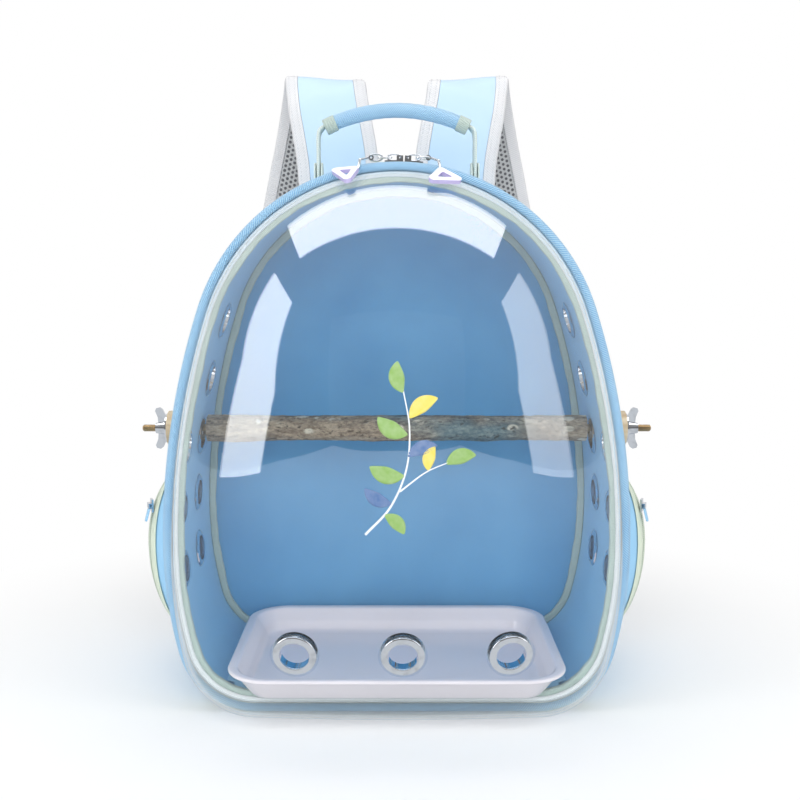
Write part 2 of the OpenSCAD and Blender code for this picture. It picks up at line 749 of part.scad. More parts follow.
// How far the dome's outer face stands in front of the rim at x, z: found by halving along the ray
function ray_len(c, s, d, lo = 60, hi = 260, n = 24) = n == 0 ? lo
    : let(mid = (lo + hi) / 2) inside([c * mid, dome_cz + s * mid], d)
        ? ray_len(c, s, d, mid, hi, n - 1) : ray_len(c, s, d, lo, mid, n - 1);

function inside(p, d) = p[1] > -d && (p[1] > crown_cz + (crown_r + d) * sin(side_angle)
    ? norm([p[0], p[1] - crown_cz]) < crown_r + d
    : p[1] > corner_r - (corner_r + d) * sin(lower_angle)
        ? abs(p[0]) < side_x(p[1], d)
        : abs(p[0]) < floor_half || norm([abs(p[0]) - floor_half, p[1] - corner_r]) < corner_r + d);

function dome_height(x, z) = let(v = [x, z - dome_cz], r = norm(v), c = v[0] / r, s = v[1] / r)
    dome_depth * (1 - (r / ray_len(c, s, dome_out)) ^ dome_round) ^ (1 / dome_edge(s));

// Turns its child so that +Z is the dome's normal at a vent
module on_dome(x, z) {
    e = 0.5;
    gx = (dome_height(x + e, z) - dome_height(x - e, z)) / (2 * e);
    gz = (dome_height(x, z + e) - dome_height(x, z - e)) / (2 * e);
    translate([x, rim_y - dome_height(x, z), z]) rotate([0, 0, -atan(gx)]) rotate([90 + atan(gz), 0, 0])
        children();
}

vents = [for (i = [-1:1]) vent_shift + i * vent_pitch];

module clear_dome() {
    color([0.85, 0.93, 0.97, 0.35]) difference() {
        dome_shell();
        for (x = vents) on_dome(x, vent_z) translate([0, 0, -8]) cylinder(r = barrel_r + 0.1, h = 16);
    }
}

// How far the dome drops behind its tangent plane at a vent, at radius r
function vent_drop(x, r) = let(e = 0.5, h = dome_height(x, vent_z),
    gx = (dome_height(x + e, vent_z) - dome_height(x - e, vent_z)) / (2 * e),
    gz = (dome_height(x, vent_z + e) - dome_height(x, vent_z - e)) / (2 * e))
    max([for (a = [0:30:330]) h + r * (gx * cos(a) + gz * sin(a))
        - dome_height(x + r * cos(a), vent_z + r * sin(a))]);

// The inner flange of a vent clears the curve of the dome behind it
vent_outer = 0.1;
vent_inner = dome_t + max([for (x = vents) vent_drop(x, eyelet_od / 2)]) + 1.7;

module dome_eyelets() {
    color(metal) for (x = vents) on_dome(x, vent_z) eyelet(vent_inner, vent_outer);
}

module dome_eyelet_washers() {
    color([0.9, 0.93, 0.95, 0.6]) for (x = vents) on_dome(x, vent_z) eyelet_washer(vent_outer);
}

module door_frame() {
    color(blue) band(wall_out, dome_out, frame_y0, frame_y1);
}

module rim_piping() {
    color(blue) bead(-bead_r, rim_y, bead_r);
}

module dome_welt() {
    color("white") band(dome_in, welt_in, rim_y + 0.5, frame_y0);
}

module dome_binding() {
    color(sage) band(dome_in, binding_in, frame_y0, binding_y);
}

module zip_tape_door() {
    color(sage) zip_ring(tape_in, wall_out, frame_y0, zip_y - zip_gap);
}

module zip_coil_door() {
    color([0.55, 0.66, 0.60]) zip_ring(-0.2, tape_in, zip_y - zip_gap - coil_w, zip_y - zip_gap);
}

module hinge_leaf_door() {
    color(blue) intersection() {
        band(wall_out + hinge_t, wall_out, frame_y0, zip_y - zip_gap);
        hinge_space();
    }
}

// ZIP SLIDERS AND PULLS

// Angle along the crown of a stretch of zip
function crown_angle(length) = length / crown_r * 180 / PI;

// Angle from the top at which a slider is parked
function slider_angle(side) = crown_angle(pull_mid + side * (slider_len / 2 + 0.4));

// Middle of the bar that a pull hangs on, in its slider's bridge
function pull_pivot(side) = let(a = slider_angle(side), r = crown_r + pivot_up,
    along = side * (pivot_in - slider_len / 2))
    [r * sin(a) + along * cos(a), zip_y, crown_cz + r * cos(a) - along * sin(a)];

// Stands its child on the crown at an angle from the top, with +Z outwards
module on_crown(angle) {
    translate([0, zip_y, crown_cz]) rotate([0, angle, 0]) translate([0, 0, crown_r]) children();
}

// A slider: a plate over the coil, one under the tapes, a thin post between them and a bridge for the pull
module slider(side) {
    color(metal) on_crown(slider_angle(side)) on_side(side) difference() {
        union() {
            translate([-slider_len / 2, -slider_w / 2, slider_top]) cube([slider_len, slider_w, slider_t]);
            translate([1 - slider_len / 2, -2.1, slider_low]) cube([slider_len - 2, 4.2, slider_t]);
            translate([-2, -slider_post_t / 2, slider_low])
                cube([4, slider_post_t, slider_top - slider_low + eps]);
            translate([-slider_len / 2, -1.8, slider_top + slider_t - eps])
                cube([2 * pivot_in + 0.4, 3.6, pivot_up - slider_top - slider_t + wire_d]);
        }
        translate([pivot_in - slider_len / 2, 3, pivot_up]) rotate([90, 0, 0])
            cylinder(r = wire_d / 2 + pivot_gap, h = 6, $fn = 24);
    }
}

// The chain of a pull, drawn away from its pivot: a shackle, a link and the bar that its tab hangs on
module pull_chain(length, side) {
    d = wire_d;
    shackle = 6;
    color(metal) translate(pull_pivot(side)) on_side(side) {
        translate([0, 3.1, 0]) rotate([90, 0, 0]) cylinder(d = d, h = 6.2, $fn = 24);
        for (y = [-3.1, 3.1]) translate([-d / 2, y - 0.5, -d / 2]) cube([shackle + 1, 1, d]);
        translate([shackle, -3.6, -d / 2]) cube([1.2, 7.2, d]);
        for (y = [-1, 1]) translate([shackle, y * link_w / 2, 0]) rotate([0, 90, 0])
            cylinder(d = d, h = length - shackle, $fn = 16);
        translate([length, link_w / 2, 0]) rotate([90, 0, 0]) cylinder(d = d, h = link_w, $fn = 24);
    }
}

// A tab: a rounded triangular frame with its tip at the origin, its base towards -Y
module tab() {
    corners = [[0, -3], [-tab_side / 2 + 3, -tab_len + 3], [tab_side / 2 - 3, -tab_len + 3]];
    holes = [[0, -6.4], [-tab_side / 2 + 7.4, -tab_len + 4.9], [tab_side / 2 - 7.4, -tab_len + 4.9]];
    translate([0, 0, -tab_t / 2]) difference() {
        hull() for (c = corners) translate(c) cylinder(r = 3, h = tab_t, $fn = 24);
        translate([0, 0, -1]) hull() for (c = holes) translate(c)
            cylinder(r = 0.8, h = tab_t + 2, $fn = 16);
        translate([0, 0.5, -1]) cylinder(r = 0.6, h = tab_t + 2, $fn = 16);
    }
}

// The pull tab of one side: an eye round the chain's end bar, a wire over the piping and the tab
module pull_tab(length, side, x, tilt, spin) {
    eye = pull_pivot(side) + [side * length, 0, 0];
    tip = [x, rim_y - tab_fwd, crown_z(x, 0) - tab_drop];
    knee = [x - side, rim_y - bead_r - 1.8, crown_z(x, 0) + 3];
    color(metal) {
        translate(eye) rotate([90, 0, 0]) difference() {
            cylinder(r = wire_d / 2 + 1.2, h = 2, center = true, $fn = 24);
            cylinder(r = wire_d / 2 + pivot_gap, h = 4, center = true, $fn = 24);
        }
        rod(eye + [side * 1.8, 0, 0], knee, tab_wire_d);
        rod(knee, tip, tab_wire_d);
        translate(knee) sphere(r = tab_wire_d / 2 + 0.15, $fn = 20);
    }
    color([0.90, 0.90, 0.96]) translate(tip) rotate([0, side * tab_lean, 0]) rotate([tilt, 0, 0])
        rotate([0, 0, spin]) tab();
}

// FEEDING TRAY

// A rounded rectangle ring at height z, grown by g from the tray's rim
function tray_ring(g, z) = let(hx = tray_w / 2 + g - (tray_r + g), hy = tray_depth / 2 + g - (tray_r + g),
    r = tray_r + g)
    [for (q = [0:3], i = [0:7])
        let(a = 90 * q + 90 * i / 7, sx = q == 0 || q == 3 ? 1 : -1, sy = q < 2 ? 1 : -1)
        [sx * hx + r * cos(a), tray_mid_y + sy * hy + r * sin(a), z]];

module feeding_tray() {
    color([0.93, 0.93, 0.96]) loft([
        tray_ring(-tray_lip - tray_draft, tray_z0), tray_ring(-tray_lip - tray_draft + 4, tray_z0 + 3),
        tray_ring(-tray_lip, tray_z1 - tray_t - 1), tray_ring(-1, tray_z1 - tray_t - 1),
        tray_ring(0, tray_z1 - tray_t), tray_ring(-1, tray_z1),
        tray_ring(-tray_lip - tray_t, tray_z1 - 0.6),
        tray_ring(-tray_lip - tray_draft + 4 - tray_t, tray_z0 + 3 + tray_t / 2),
        tray_ring(-tray_lip - tray_draft - tray_t, tray_z0 + tray_t)], flip = true);
}

side_wall();
back_panel();
back_piping();
back_binding();
base_panel();
floor_pad();
zip_tape_body();
zip_coil_body();
hinge_leaf_body();
side_eyelets(-1);  // left_eyelets
side_eyelets(1);  // right_eyelets
side_eyelet_washers(-1);  // left_eyelet_washers
side_eyelet_washers(1);  // right_eyelet_washers
perch_branch();
perch_stud(-1);  // left_perch_stud
perch_stud(1);  // right_perch_stud
perch_collar(-1);  // left_perch_collar
perch_collar(1);  // right_perch_collar
pocket(-1);  // left_pocket
pocket(1);  // right_pocket
pocket_zip(-1);  // left_pocket_zip
pocket_zip(1);  // right_pocket_zip
pocket_slider(-1);  // left_pocket_slider
pocket_slider(1);  // right_pocket_slider
back_pad();
strap_pad(-1);  // left_strap_pad
strap_pad(1);  // right_strap_pad
strap_webbing(-1);  // left_strap_webbing
strap_webbing(1);  // right_strap_webbing
strap_buckle(-1);  // left_strap_buckle
strap_buckle(1);  // right_strap_buckle
strap_anchors();
handle_anchors();
clear_dome();
door_frame();
rim_piping();
dome_welt();
dome_binding();
zip_tape_door();
zip_coil_door();
hinge_leaf_door();
dome_eyelets();
dome_eyelet_washers();
slider(-1);  // left_slider
slider(1);  // right_slider
pull_chain(left_chain_len, -1);  // left_pull_chain
pull_chain(right_chain_len, 1);  // right_pull_chain
pull_tab(left_chain_len, -1, -26.5, left_tab_tilt, -66);  // left_pull_tab
pull_tab(right_chain_len, 1, 30, right_tab_tilt, 20);  // right_pull_tab
handle_grip();
handle_wraps();
handle_webbing();
washer(-1);  // left_washer
washer(1);  // right_washer
wing_nut(-1);  // left_wing_nut
wing_nut(1);  // right_wing_nut
pocket_pull(-1);  // left_pocket_pull
pocket_pull(1);  // right_pocket_pull
feeding_tray();
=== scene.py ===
# %% [markdown]
# # Bird travel carrier
# A backpack for a small bird: a soft blue shell, a clear domed door with a zip round it, a branch to
# sit on, a feeding tray, a carrying handle and two shoulder straps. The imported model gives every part
# its place and its size. This file dresses it: each cloth, cord and strap gets its own surface, and
# each part a finish made of nodes.

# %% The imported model
import json
import bmesh
import bpy
import numpy as np
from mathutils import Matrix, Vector


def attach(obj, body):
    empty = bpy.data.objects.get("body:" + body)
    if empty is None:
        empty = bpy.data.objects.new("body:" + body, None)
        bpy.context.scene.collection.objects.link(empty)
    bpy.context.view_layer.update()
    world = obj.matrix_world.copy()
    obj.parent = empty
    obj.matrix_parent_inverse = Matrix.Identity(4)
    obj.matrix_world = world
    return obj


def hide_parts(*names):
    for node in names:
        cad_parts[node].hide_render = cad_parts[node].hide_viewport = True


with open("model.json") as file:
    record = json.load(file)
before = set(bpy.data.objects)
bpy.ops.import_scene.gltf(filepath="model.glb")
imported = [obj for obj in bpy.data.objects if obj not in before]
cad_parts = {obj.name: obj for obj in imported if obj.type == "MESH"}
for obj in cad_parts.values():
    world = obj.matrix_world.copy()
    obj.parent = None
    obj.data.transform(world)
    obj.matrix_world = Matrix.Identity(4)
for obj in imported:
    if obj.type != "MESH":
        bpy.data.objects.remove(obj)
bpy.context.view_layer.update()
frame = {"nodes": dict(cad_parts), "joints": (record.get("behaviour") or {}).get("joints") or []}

MM = 0.001
TURN = 2 * np.pi
SIDES = ((-1, "left"), (1, "right"))
RIM_Y = -0.080  # the plane of the door's rim

# %% [markdown]
# ## The camera
# The camera stands 0.73 m in front of the rim and 0.32 m up, and looks down by 6.8 degrees. A lens of
# 46 mm on a 36 mm sensor gives the frame's angle. The picture's middle lies 3 pixels to the right of
# the carrier's, which the small shift does.

# %% Camera
lens = bpy.data.cameras.new("camera")
lens.lens, lens.sensor_width, lens.sensor_fit = 46.125, 36.0, "HORIZONTAL"
lens.shift_x = 3.25 / 800
lens.clip_start = 0.01
camera = bpy.data.objects.new("camera", lens)
camera.location = (0.0, -0.8086, 0.3201)
camera.rotation_euler = (np.pi / 2 - np.arctan(123 / 1025), 0.0, 0.0)
bpy.context.scene.collection.objects.link(camera)
bpy.context.scene.camera = camera
bpy.context.scene.view_settings.view_transform = "Standard"

# %% [markdown]
# ## Colours and node maths
# Colours are written as the eye reads them, from 0 to 255, and turned into light values once. A finish
# is worked out with plain arithmetic: `Val` wraps the output of a node, and each operator adds a Math
# node. `Finish.add` makes every other node: settings first, then what goes into its sockets.

# %% Node maths
def rgb(r, g, b):
    """A colour as the eye reads it, turned into light: below 0.04 by a straight line, above it by a power."""
    c = np.array([r, g, b]) / 255
    c = np.where(c < 0.04045, c / 12.92, ((c + 0.055) / 1.055) ** 2.4)
    return (float(c[0]), float(c[1]), float(c[2]), 1.0)


class Val:
    """A number on its way through a finish."""

    def __init__(self, finish, socket):
        self.finish, self.socket = finish, socket

    def op(self, how, *others):
        return self.finish.add("Math", {"operation": how}, self, *others)

    def __add__(self, o): return self.op("ADD", o)
    def __radd__(self, o): return self.op("ADD", o)
    def __mul__(self, o): return self.op("MULTIPLY", o)
    def __rmul__(self, o): return self.op("MULTIPLY", o)
    def __sub__(self, o): return self.op("SUBTRACT", o)
    def __rsub__(self, o): return self.finish.add("Math", {"operation": "SUBTRACT"}, o, self)
    def __truediv__(self, o): return self.op("DIVIDE", o)
    def __pow__(self, o): return self.op("POWER", o)
    def __gt__(self, o): return self.op("GREATER_THAN", o)
    def __lt__(self, o): return self.op("LESS_THAN", o)

    def sin(self): return self.op("SINE")
    def cos(self): return self.op("COSINE")
    def size(self): return self.op("ABSOLUTE")
    def most(self, o): return self.op("MAXIMUM", o)
    def part(self): return self.op("FRACT")

    def step(self, low, high):
        """0 below low, 1 above high, and a soft rise between them."""
        return self.finish.add("MapRange", {"interpolation_type": "SMOOTHSTEP"}, self, low, high, 0.0, 1.0)


class Finish:
    """One finish: a material with its nodes."""

    def __init__(self, name):
        self.material = bpy.data.materials.new(name)
        self.material.use_nodes = True
        self.nodes = self.material.node_tree.nodes
        self.links = self.material.node_tree.links
        self.nodes.clear()
        self.out = self.nodes.new("ShaderNodeOutputMaterial")

    def put(self, socket, value):
        if isinstance(value, Val):
            self.links.new(value.socket, socket)
        else:
            socket.default_value = value

    def add(self, kind, settings, *values, out=None, **named):
        """A node of this kind, its settings, the values of its sockets by order or name, and its output."""
        node = self.nodes.new("ShaderNode" + kind)
        for key, value in settings.items():
            if key == "stops":
                ramp = node.color_ramp
                while len(ramp.elements) < len(value):
                    ramp.elements.new(0.5)
                for element, (place, colour) in zip(ramp.elements, value):
                    element.position, element.color = place, colour
            else:
                setattr(node, key, value)
        sockets = [s for s in node.inputs if s.enabled]
        for socket, value in zip(sockets, values):
            self.put(socket, value)
        for key, value in named.items():
            self.put(node.inputs[key.replace("_", " ")], value)
        shown = [s for s in node.outputs if s.enabled]
        return Val(self, node.outputs[out] if out else shown[0])

    def mix(self, share, a, b):
        """Colour a, turned into colour b by share."""
        return self.add("Mix", {"data_type": "RGBA", "clamp_factor": True}, share, a, b)

    def ramp(self, value, *stops):
        return self.add("ValToRGB", {"stops": stops}, value)

    def here(self):
        """The point on the piece, in metres."""
        return self.add("TexCoord", {}, out="Object")

    def noise(self, scale, detail=2.0, rough=0.5, where=None, stretch=None):
        """Cloudy noise with about scale lumps to a metre, stretched along an axis if stretch is given."""
        where = where or self.here()
        if stretch:
            where = self.add("Mapping", {"vector_type": "POINT"}, where, Scale=stretch)
        return self.add("TexNoise", {}, where, Scale=scale, Detail=detail, Roughness=rough, out="Fac")

    def along(self):
        """Run along and across the cloth of a piece, in millimetres, from its own map."""
        uv = self.add("UVMap", {"uv_map": "cloth"})
        split = self.nodes.new("ShaderNodeSeparateXYZ")
        self.put(split.inputs[0], uv)
        return Val(self, split.outputs[0]) * 1000.0, Val(self, split.outputs[1]) * 1000.0

    def split(self, vector):
        node = self.nodes.new("ShaderNodeSeparateXYZ")
        self.put(node.inputs[0], vector)
        return [Val(self, s) for s in node.outputs]

    def bump(self, height, depth, strength=1.0):
        """A raised pattern: height from 0 to 1, and how deep it is in millimetres."""
        return self.add("Bump", {}, Strength=strength, Distance=depth * MM, Height=height)

    def surface(self, colour, rough, normal=None, **constants):
        """The shader that all solid finishes share."""
        node = self.nodes.new("ShaderNodeBsdfPrincipled")
        self.put(node.inputs["Base Color"], colour)
        self.put(node.inputs["Roughness"], rough)
        if normal is not None:
            self.put(node.inputs["Normal"], normal)
        for key, value in constants.items():
            self.put(node.inputs[key.replace("_", " ")], value)
        self.links.new(node.outputs[0], self.out.inputs[0])
        return self

# %% [markdown]
# ## Cloths
# The shell is sewn from a few cloths: a smooth coated one for the walls, a ribbed one that is rolled
# round cords, and woven tapes. A weave is a product of two waves, one along each thread, and a rib is
# one wave across the cloth. Both run in millimetres on the piece's own map, so their scale is real.

# %% Cloth finishes
def coated_cloth(name, colour, deep, pitch=0.9, rough=0.42, sheen=0.15, wear=0.5, level=False, crumple=0.0):
    """Smooth coated cloth: a fine plain weave pressed nearly flat, with soft clouds of tone. A level cloth
    takes its weave from the point's x and y."""
    f = Finish(name)
    x, y, z = f.split(f.here())
    u, v = (x * 1000.0, y * 1000.0) if level else f.along()
    weave = (u * (TURN / pitch)).sin() * (v * (TURN / pitch)).sin() * 0.5 + 0.5
    clouds = f.noise(14.0, 3.0)
    folds = f.noise(16.0, 2.0, 0.4, stretch=(1.0, 0.5, 1.0)) * (crumple * 40.0)
    tone = (clouds - 0.5) * wear + weave * 0.10 + 0.35
    return f.surface(f.mix(tone, colour, deep), rough + (clouds - 0.5) * 0.12,
                     f.bump(weave * 0.4 + f.noise(60.0) * 1.5 + folds, 0.1), Sheen_Weight=sheen,
                     Sheen_Roughness=0.4)


def twill_cord(name, colour, deep, pitch=1.8):
    """Cloth rolled round a cord: slanted ribs, each of them with a dark line beside it."""
    f = Finish(name)
    u, v = f.along()
    rib = ((u + v * 0.8) * (TURN / pitch)).sin() * 0.5 + 0.5
    fine = ((u - v * 1.3) * (TURN / 0.7)).sin() * 0.5 + 0.5
    clouds = f.noise(30.0, 3.0)
    tone = (1 - rib) * 0.85 + fine * 0.12 + (clouds - 0.5) * 0.5
    return f.surface(f.mix(tone, colour, deep), 0.5 - rib * 0.12,
                     f.bump(rib + fine * 0.25, 0.6), Sheen_Weight=0.3, Sheen_Roughness=0.35)


def ribbed_tape(name, colour, deep, pitch=1.1, across=0.0, depth=0.22):
    """Woven tape: ribs across its run, and a few heavier threads along it."""
    f = Finish(name)
    u, v = f.along()
    rib = ((u + v * across) * (TURN / pitch)).sin() * 0.5 + 0.5
    thread = (v * (TURN / 0.9)).sin() * 0.5 + 0.5
    clouds = f.noise(25.0, 3.0)
    tone = (1 - rib) * 0.4 + thread * 0.15 + (clouds - 0.5) * 0.6
    return f.surface(f.mix(tone, colour, deep), 0.62 - rib * 0.1,
                     f.bump(rib * 0.8 + thread * 0.4, depth), Sheen_Weight=0.25, Sheen_Roughness=0.5)


def spacer_mesh(name, colour, hole, pitch=3.6, plane=None):
    """Airy mesh with rows of round holes: three waves at 60 degrees to each other peak on the holes."""
    f = Finish(name)
    if plane:
        x, y, z = f.split(f.here())
        u, v = x * 1000.0, z * 1000.0
    else:
        u, v = f.along()
    k = TURN / pitch * 2 / np.sqrt(3)
    waves = (v * k).cos() + ((u * 0.866 + v * 0.5) * k).cos() + ((u * 0.866 - v * 0.5) * k).cos()
    gap = waves.step(-0.1, 1.0)
    knit = ((u + v) * (TURN / 0.8)).sin() * ((u - v) * (TURN / 0.8)).sin() * 0.5 + 0.5
    tone = f.mix(gap, f.mix(knit * 0.35, colour, rgb(150, 152, 155)), hole)
    return f.surface(tone, 0.75, f.bump((1 - gap) + knit * 0.2, 0.9), Sheen_Weight=0.2)


wall_cloth = coated_cloth("wall_cloth", rgb(154, 208, 242), rgb(126, 190, 230), crumple=0.7)
# The back panel is the same light blue cloth as the walls: its darker blues are painted shade, the shade it
# lies in deep inside the shell.
panel_cloth_painted_shade = coated_cloth("back_cloth", rgb(102, 168, 212), rgb(74, 144, 194), wear=1.4, rough=0.5)
pocket_cloth = coated_cloth("pocket_cloth", rgb(160, 208, 240), rgb(128, 184, 224))
strap_cloth = coated_cloth("strap_cloth", rgb(186, 211, 230), rgb(173, 201, 226), pitch=1.1, rough=0.6,
                           wear=0.3)
floor_cloth = coated_cloth("floor_cloth", rgb(172, 214, 236), rgb(138, 190, 222), rough=0.6, level=True)
piping_cloth = twill_cord("piping_cord", rgb(188, 230, 255), rgb(122, 180, 230))
grip_cloth = twill_cord("grip_cloth", rgb(192, 232, 255), rgb(142, 196, 244), pitch=1.6)
wrap_braid = twill_cord("wrap_braid", rgb(222, 238, 230), rgb(186, 208, 200), pitch=1.5)
sage_tape = ribbed_tape("sage_binding", rgb(190, 206, 198), rgb(146, 168, 160))
zip_tape = ribbed_tape("zip_tape", rgb(226, 236, 216), rgb(188, 206, 186), pitch=0.9)
white_tape = ribbed_tape("welt_cloth", rgb(244, 246, 246), rgb(214, 220, 224), pitch=0.9)
strap_binding = ribbed_tape("strap_binding", rgb(222, 222, 224), rgb(184, 186, 190), pitch=2.0, across=0.7)
webbing_tape = ribbed_tape("webbing", rgb(226, 238, 234), rgb(188, 208, 202), pitch=1.6, across=0.5,
                           depth=0.4)
pad_mesh = spacer_mesh("pad_mesh", rgb(204, 206, 208), rgb(104, 106, 110), pitch=4.4)
back_mesh = spacer_mesh("back_mesh", rgb(196, 198, 200), rgb(96, 98, 102), pitch=4.6, plane=True)

# %% [markdown]
# ## Hard finishes
# Chrome is a mirror with a few faint wipe marks. The tray is glossy moulded plastic, slightly cloudy
# from use. The clear dome lets light straight through, because light bent by a thin dome would take
# very long to work out. Its mirroring is written out: a fixed share for each face, and the rest rises
# with the fifth power towards a grazing look. That fixed share is smaller low on the dome, because
# the floor's reflection would otherwise haze the tray behind it.

# %% Hard finishes
def polished_metal(name, colour, rough=0.12, grain=900.0):
    """Plated metal: nearly a mirror, with wipe marks that make it a little rougher here and there."""
    f = Finish(name)
    marks = f.noise(grain, 3.0, stretch=(1.0, 1.0, 0.25))
    dust = f.noise(120.0)
    return f.surface(f.mix(dust.step(0.45, 0.8) * 0.25, colour, rgb(120, 122, 126)),
                     rough + (marks - 0.5) * 0.12, f.bump(marks, 0.01), Metallic=1.0)


def moulded_plastic(name, colour, deep, rough=0.25, coat=0.3):
    """Moulded plastic: even colour with slow clouds, and a skin like fine orange peel."""
    f = Finish(name)
    clouds = f.noise(9.0, 3.0)
    peel = f.noise(700.0, 1.0)
    return f.surface(f.mix(clouds, colour, deep), rough + (clouds - 0.5) * 0.1,
                     f.bump(peel, 0.02), Coat_Weight=coat, Coat_Roughness=0.1)


def clear_sheet(name, tint, bounce, edge=None):
    """Clear sheet. Most light goes straight on and takes a little of the tint; a share of it is mirrored,
    more and more towards a grazing look. edge is a depth (y) from which the sheet is painted white: a painted
    highlight for the glints on the clear lip at the rim."""
    f = Finish(name)
    graze = f.add("LayerWeight", {}, 0.5, out="Facing")
    lit = f.add("LightPath", {}, out="Is Shadow Ray").most(f.add("LightPath", {}, out="Is Diffuse Ray"))
    x, y, z = f.split(f.here())
    shine = z.step(0.09, 0.25) * (bounce - 0.03) + 0.03
    share = (graze ** 5 * (1 - shine) + shine) * (1 - lit)
    mirror = f.add("BsdfAnisotropic", {}, Color=(1.0, 1.0, 1.0, 1.0), Roughness=0.02)
    clear = f.add("BsdfTransparent", {}, Color=tint)
    glass = f.add("MixShader", {}, share, clear, mirror)
    # Towards the rim the sheet is painted white at three quarters strength: a painted highlight for the
    # glints on its clear lip.
    if edge:
        f.surface(rgb(240, 246, 246), 0.35)
        painted_highlight = Val(f, f.out.inputs[0].links[0].from_socket)
        glass = f.add("MixShader", {}, y.step(edge - 1.2 * MM, edge) * 0.75, glass, painted_highlight)
    f.put(f.out.inputs[0], glass)
    return f


chrome = polished_metal("chrome", rgb(232, 234, 238), 0.08)
stud_steel = polished_metal("stud_steel", rgb(196, 168, 128), 0.3)
tray_plastic = moulded_plastic("tray_plastic", rgb(240, 230, 234), rgb(230, 220, 226))
tab_white = moulded_plastic("tab_plastic", rgb(244, 243, 252), rgb(232, 230, 246), 0.3)
buckle_plastic = moulded_plastic("buckle_plastic", rgb(206, 210, 214), rgb(190, 194, 200), 0.4, 0.1)
# edge sets where the painted highlight on the dome's clear lip begins.
dome_clear = clear_sheet("clear_dome", (0.975, 0.99, 0.995, 1.0), 0.115, edge=-0.0797)
gasket_clear = clear_sheet("clear_gasket", (0.93, 0.95, 0.97, 1.0), 0.12)


def turned_wood():
    """Turned beech: rings round the axis, stretched streaks along the grain."""
    f = Finish("turned_wood")
    x, y, z = f.split(f.here())
    streak = f.noise(260.0, 4.0, stretch=(0.12, 1.0, 1.0))
    ring = (f.noise(60.0, 2.0, stretch=(0.2, 1.0, 1.0)) * 30.0).sin() * 0.5 + 0.5
    tone = f.ramp(streak * 0.6 + ring * 0.4, (0.2, rgb(216, 200, 172)), (0.6, rgb(200, 178, 146)),
                  (0.9, rgb(170, 144, 112)))
    return f.surface(tone, 0.5 + streak * 0.2, f.bump(streak, 0.08))


beech = turned_wood()
floor_board = moulded_plastic("floor_board", rgb(128, 176, 212), rgb(108, 158, 198), 0.6, 0.0)
tab_lilac = moulded_plastic("tab_lilac", rgb(196, 186, 226), rgb(180, 170, 214), 0.35)
print("finishes so far:", len(bpy.data.materials))

# %% [markdown]
# ## Surfaces from grids
# Nearly every new piece is a grid of points: rows run along the piece, columns go across it. The rows
# can close into a hoop, the columns into a tube, and a tube's ends close with a point in the middle.
# Each piece keeps a map in metres, so that a weave has the same size everywhere.

# %% Grid tools
def piece(name, verts, faces, finish, body, slot, uv=None, sharp=None, replaces=()):
    """A mesh made into a named piece that rides on a body. uv has one pair for each corner of each face."""
    mesh = bpy.data.meshes.new(name)
    mesh.from_pydata(np.asarray(verts).tolist(), [],
                     [list(f) for f in faces] if isinstance(faces, list) else faces.tolist())
    if uv is not None:
        layer = mesh.uv_layers.new(name="cloth")
        layer.data.foreach_set("uv", np.asarray(uv, np.float32).ravel())
    mesh.polygons.foreach_set("use_smooth", np.ones(len(mesh.polygons), bool))
    if sharp:
        mesh.set_sharp_from_angle(angle=np.radians(sharp))
    finishes = finish if isinstance(finish, list) else [finish]
    for f in finishes:
        mesh.materials.append(f.material)
    mesh.validate()
    obj = bpy.data.objects.new(name, mesh)
    bpy.context.scene.collection.objects.link(obj)
    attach(obj, body)
    if replaces:
        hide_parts(*([replaces] if isinstance(replaces, str) else replaces))
    return obj


def grid(P, hoop=False, tube=False, ends=False, uv=None):
    """Faces of a grid of points P[row, column]. A hoop joins the last row to the first, a tube the last
    column to the first, and ends closes a tube's first and last row with a fan round its middle.
    Gives points, faces and the map of each corner; faces point outwards."""
    n, m = P.shape[:2]
    i, j = np.meshgrid(np.arange(n if hoop else n - 1), np.arange(m if tube else m - 1), indexing="ij")
    i, j = i.ravel(), j.ravel()
    i1, j1 = (i + 1) % n, (j + 1) % m
    quads = np.stack([i * m + j, i1 * m + j, i1 * m + j1, i * m + j1], 1)
    if uv is None:
        step = np.linalg.norm(np.diff(np.concatenate([P, P[:1]], 0), axis=0), axis=2).mean(1)
        wide = np.linalg.norm(np.diff(np.concatenate([P, P[:, :1]], 1), axis=1), axis=2).mean(0)
        U, V = np.r_[0, np.cumsum(step)], np.r_[0, np.cumsum(wide)]
        corner = np.stack([np.c_[U[i], V[j]], np.c_[U[i + 1], V[j]], np.c_[U[i + 1], V[j + 1]],
                           np.c_[U[i], V[j + 1]]], 1)
    else:
        corner = np.stack([uv[i, j], uv[i1, j], uv[i1, j1], uv[i, j1]], 1)
    verts = P.reshape(-1, 3)
    faces, maps = quads.tolist(), corner.reshape(-1, 2)
    if ends:
        k = np.arange(m)
        k1 = (k + 1) % m
        verts = np.r_[verts, P[:1].mean(1), P[-1:].mean(1)]
        first = np.stack([np.full(m, n * m), k, k1], 1)
        last = np.stack([np.full(m, n * m + 1), (n - 1) * m + k1, (n - 1) * m + k], 1)
        faces += first.tolist() + last.tolist()
        if uv is None:
            rim = P[0] - P[0].mean(0)
            wide_end = np.linalg.norm(rim, axis=1).mean()
            flat = np.stack([np.cos(TURN * k / m), np.sin(TURN * k / m)], 1) * wide_end
            fan = np.stack([np.zeros((m, 2)), flat, flat[k1]], 1)
            maps = np.r_[maps, fan.reshape(-1, 2), fan[:, ::-1].reshape(-1, 2)]
        else:
            mid0, mid1 = np.tile(uv[0, :m].mean(0), (m, 1)), np.tile(uv[-1, :m].mean(0), (m, 1))
            maps = np.r_[maps, np.stack([mid0, uv[0, k], uv[0, k1]], 1).reshape(-1, 2),
                         np.stack([mid1, uv[-1, k1], uv[-1, k]], 1).reshape(-1, 2)]
    return verts, faces, maps


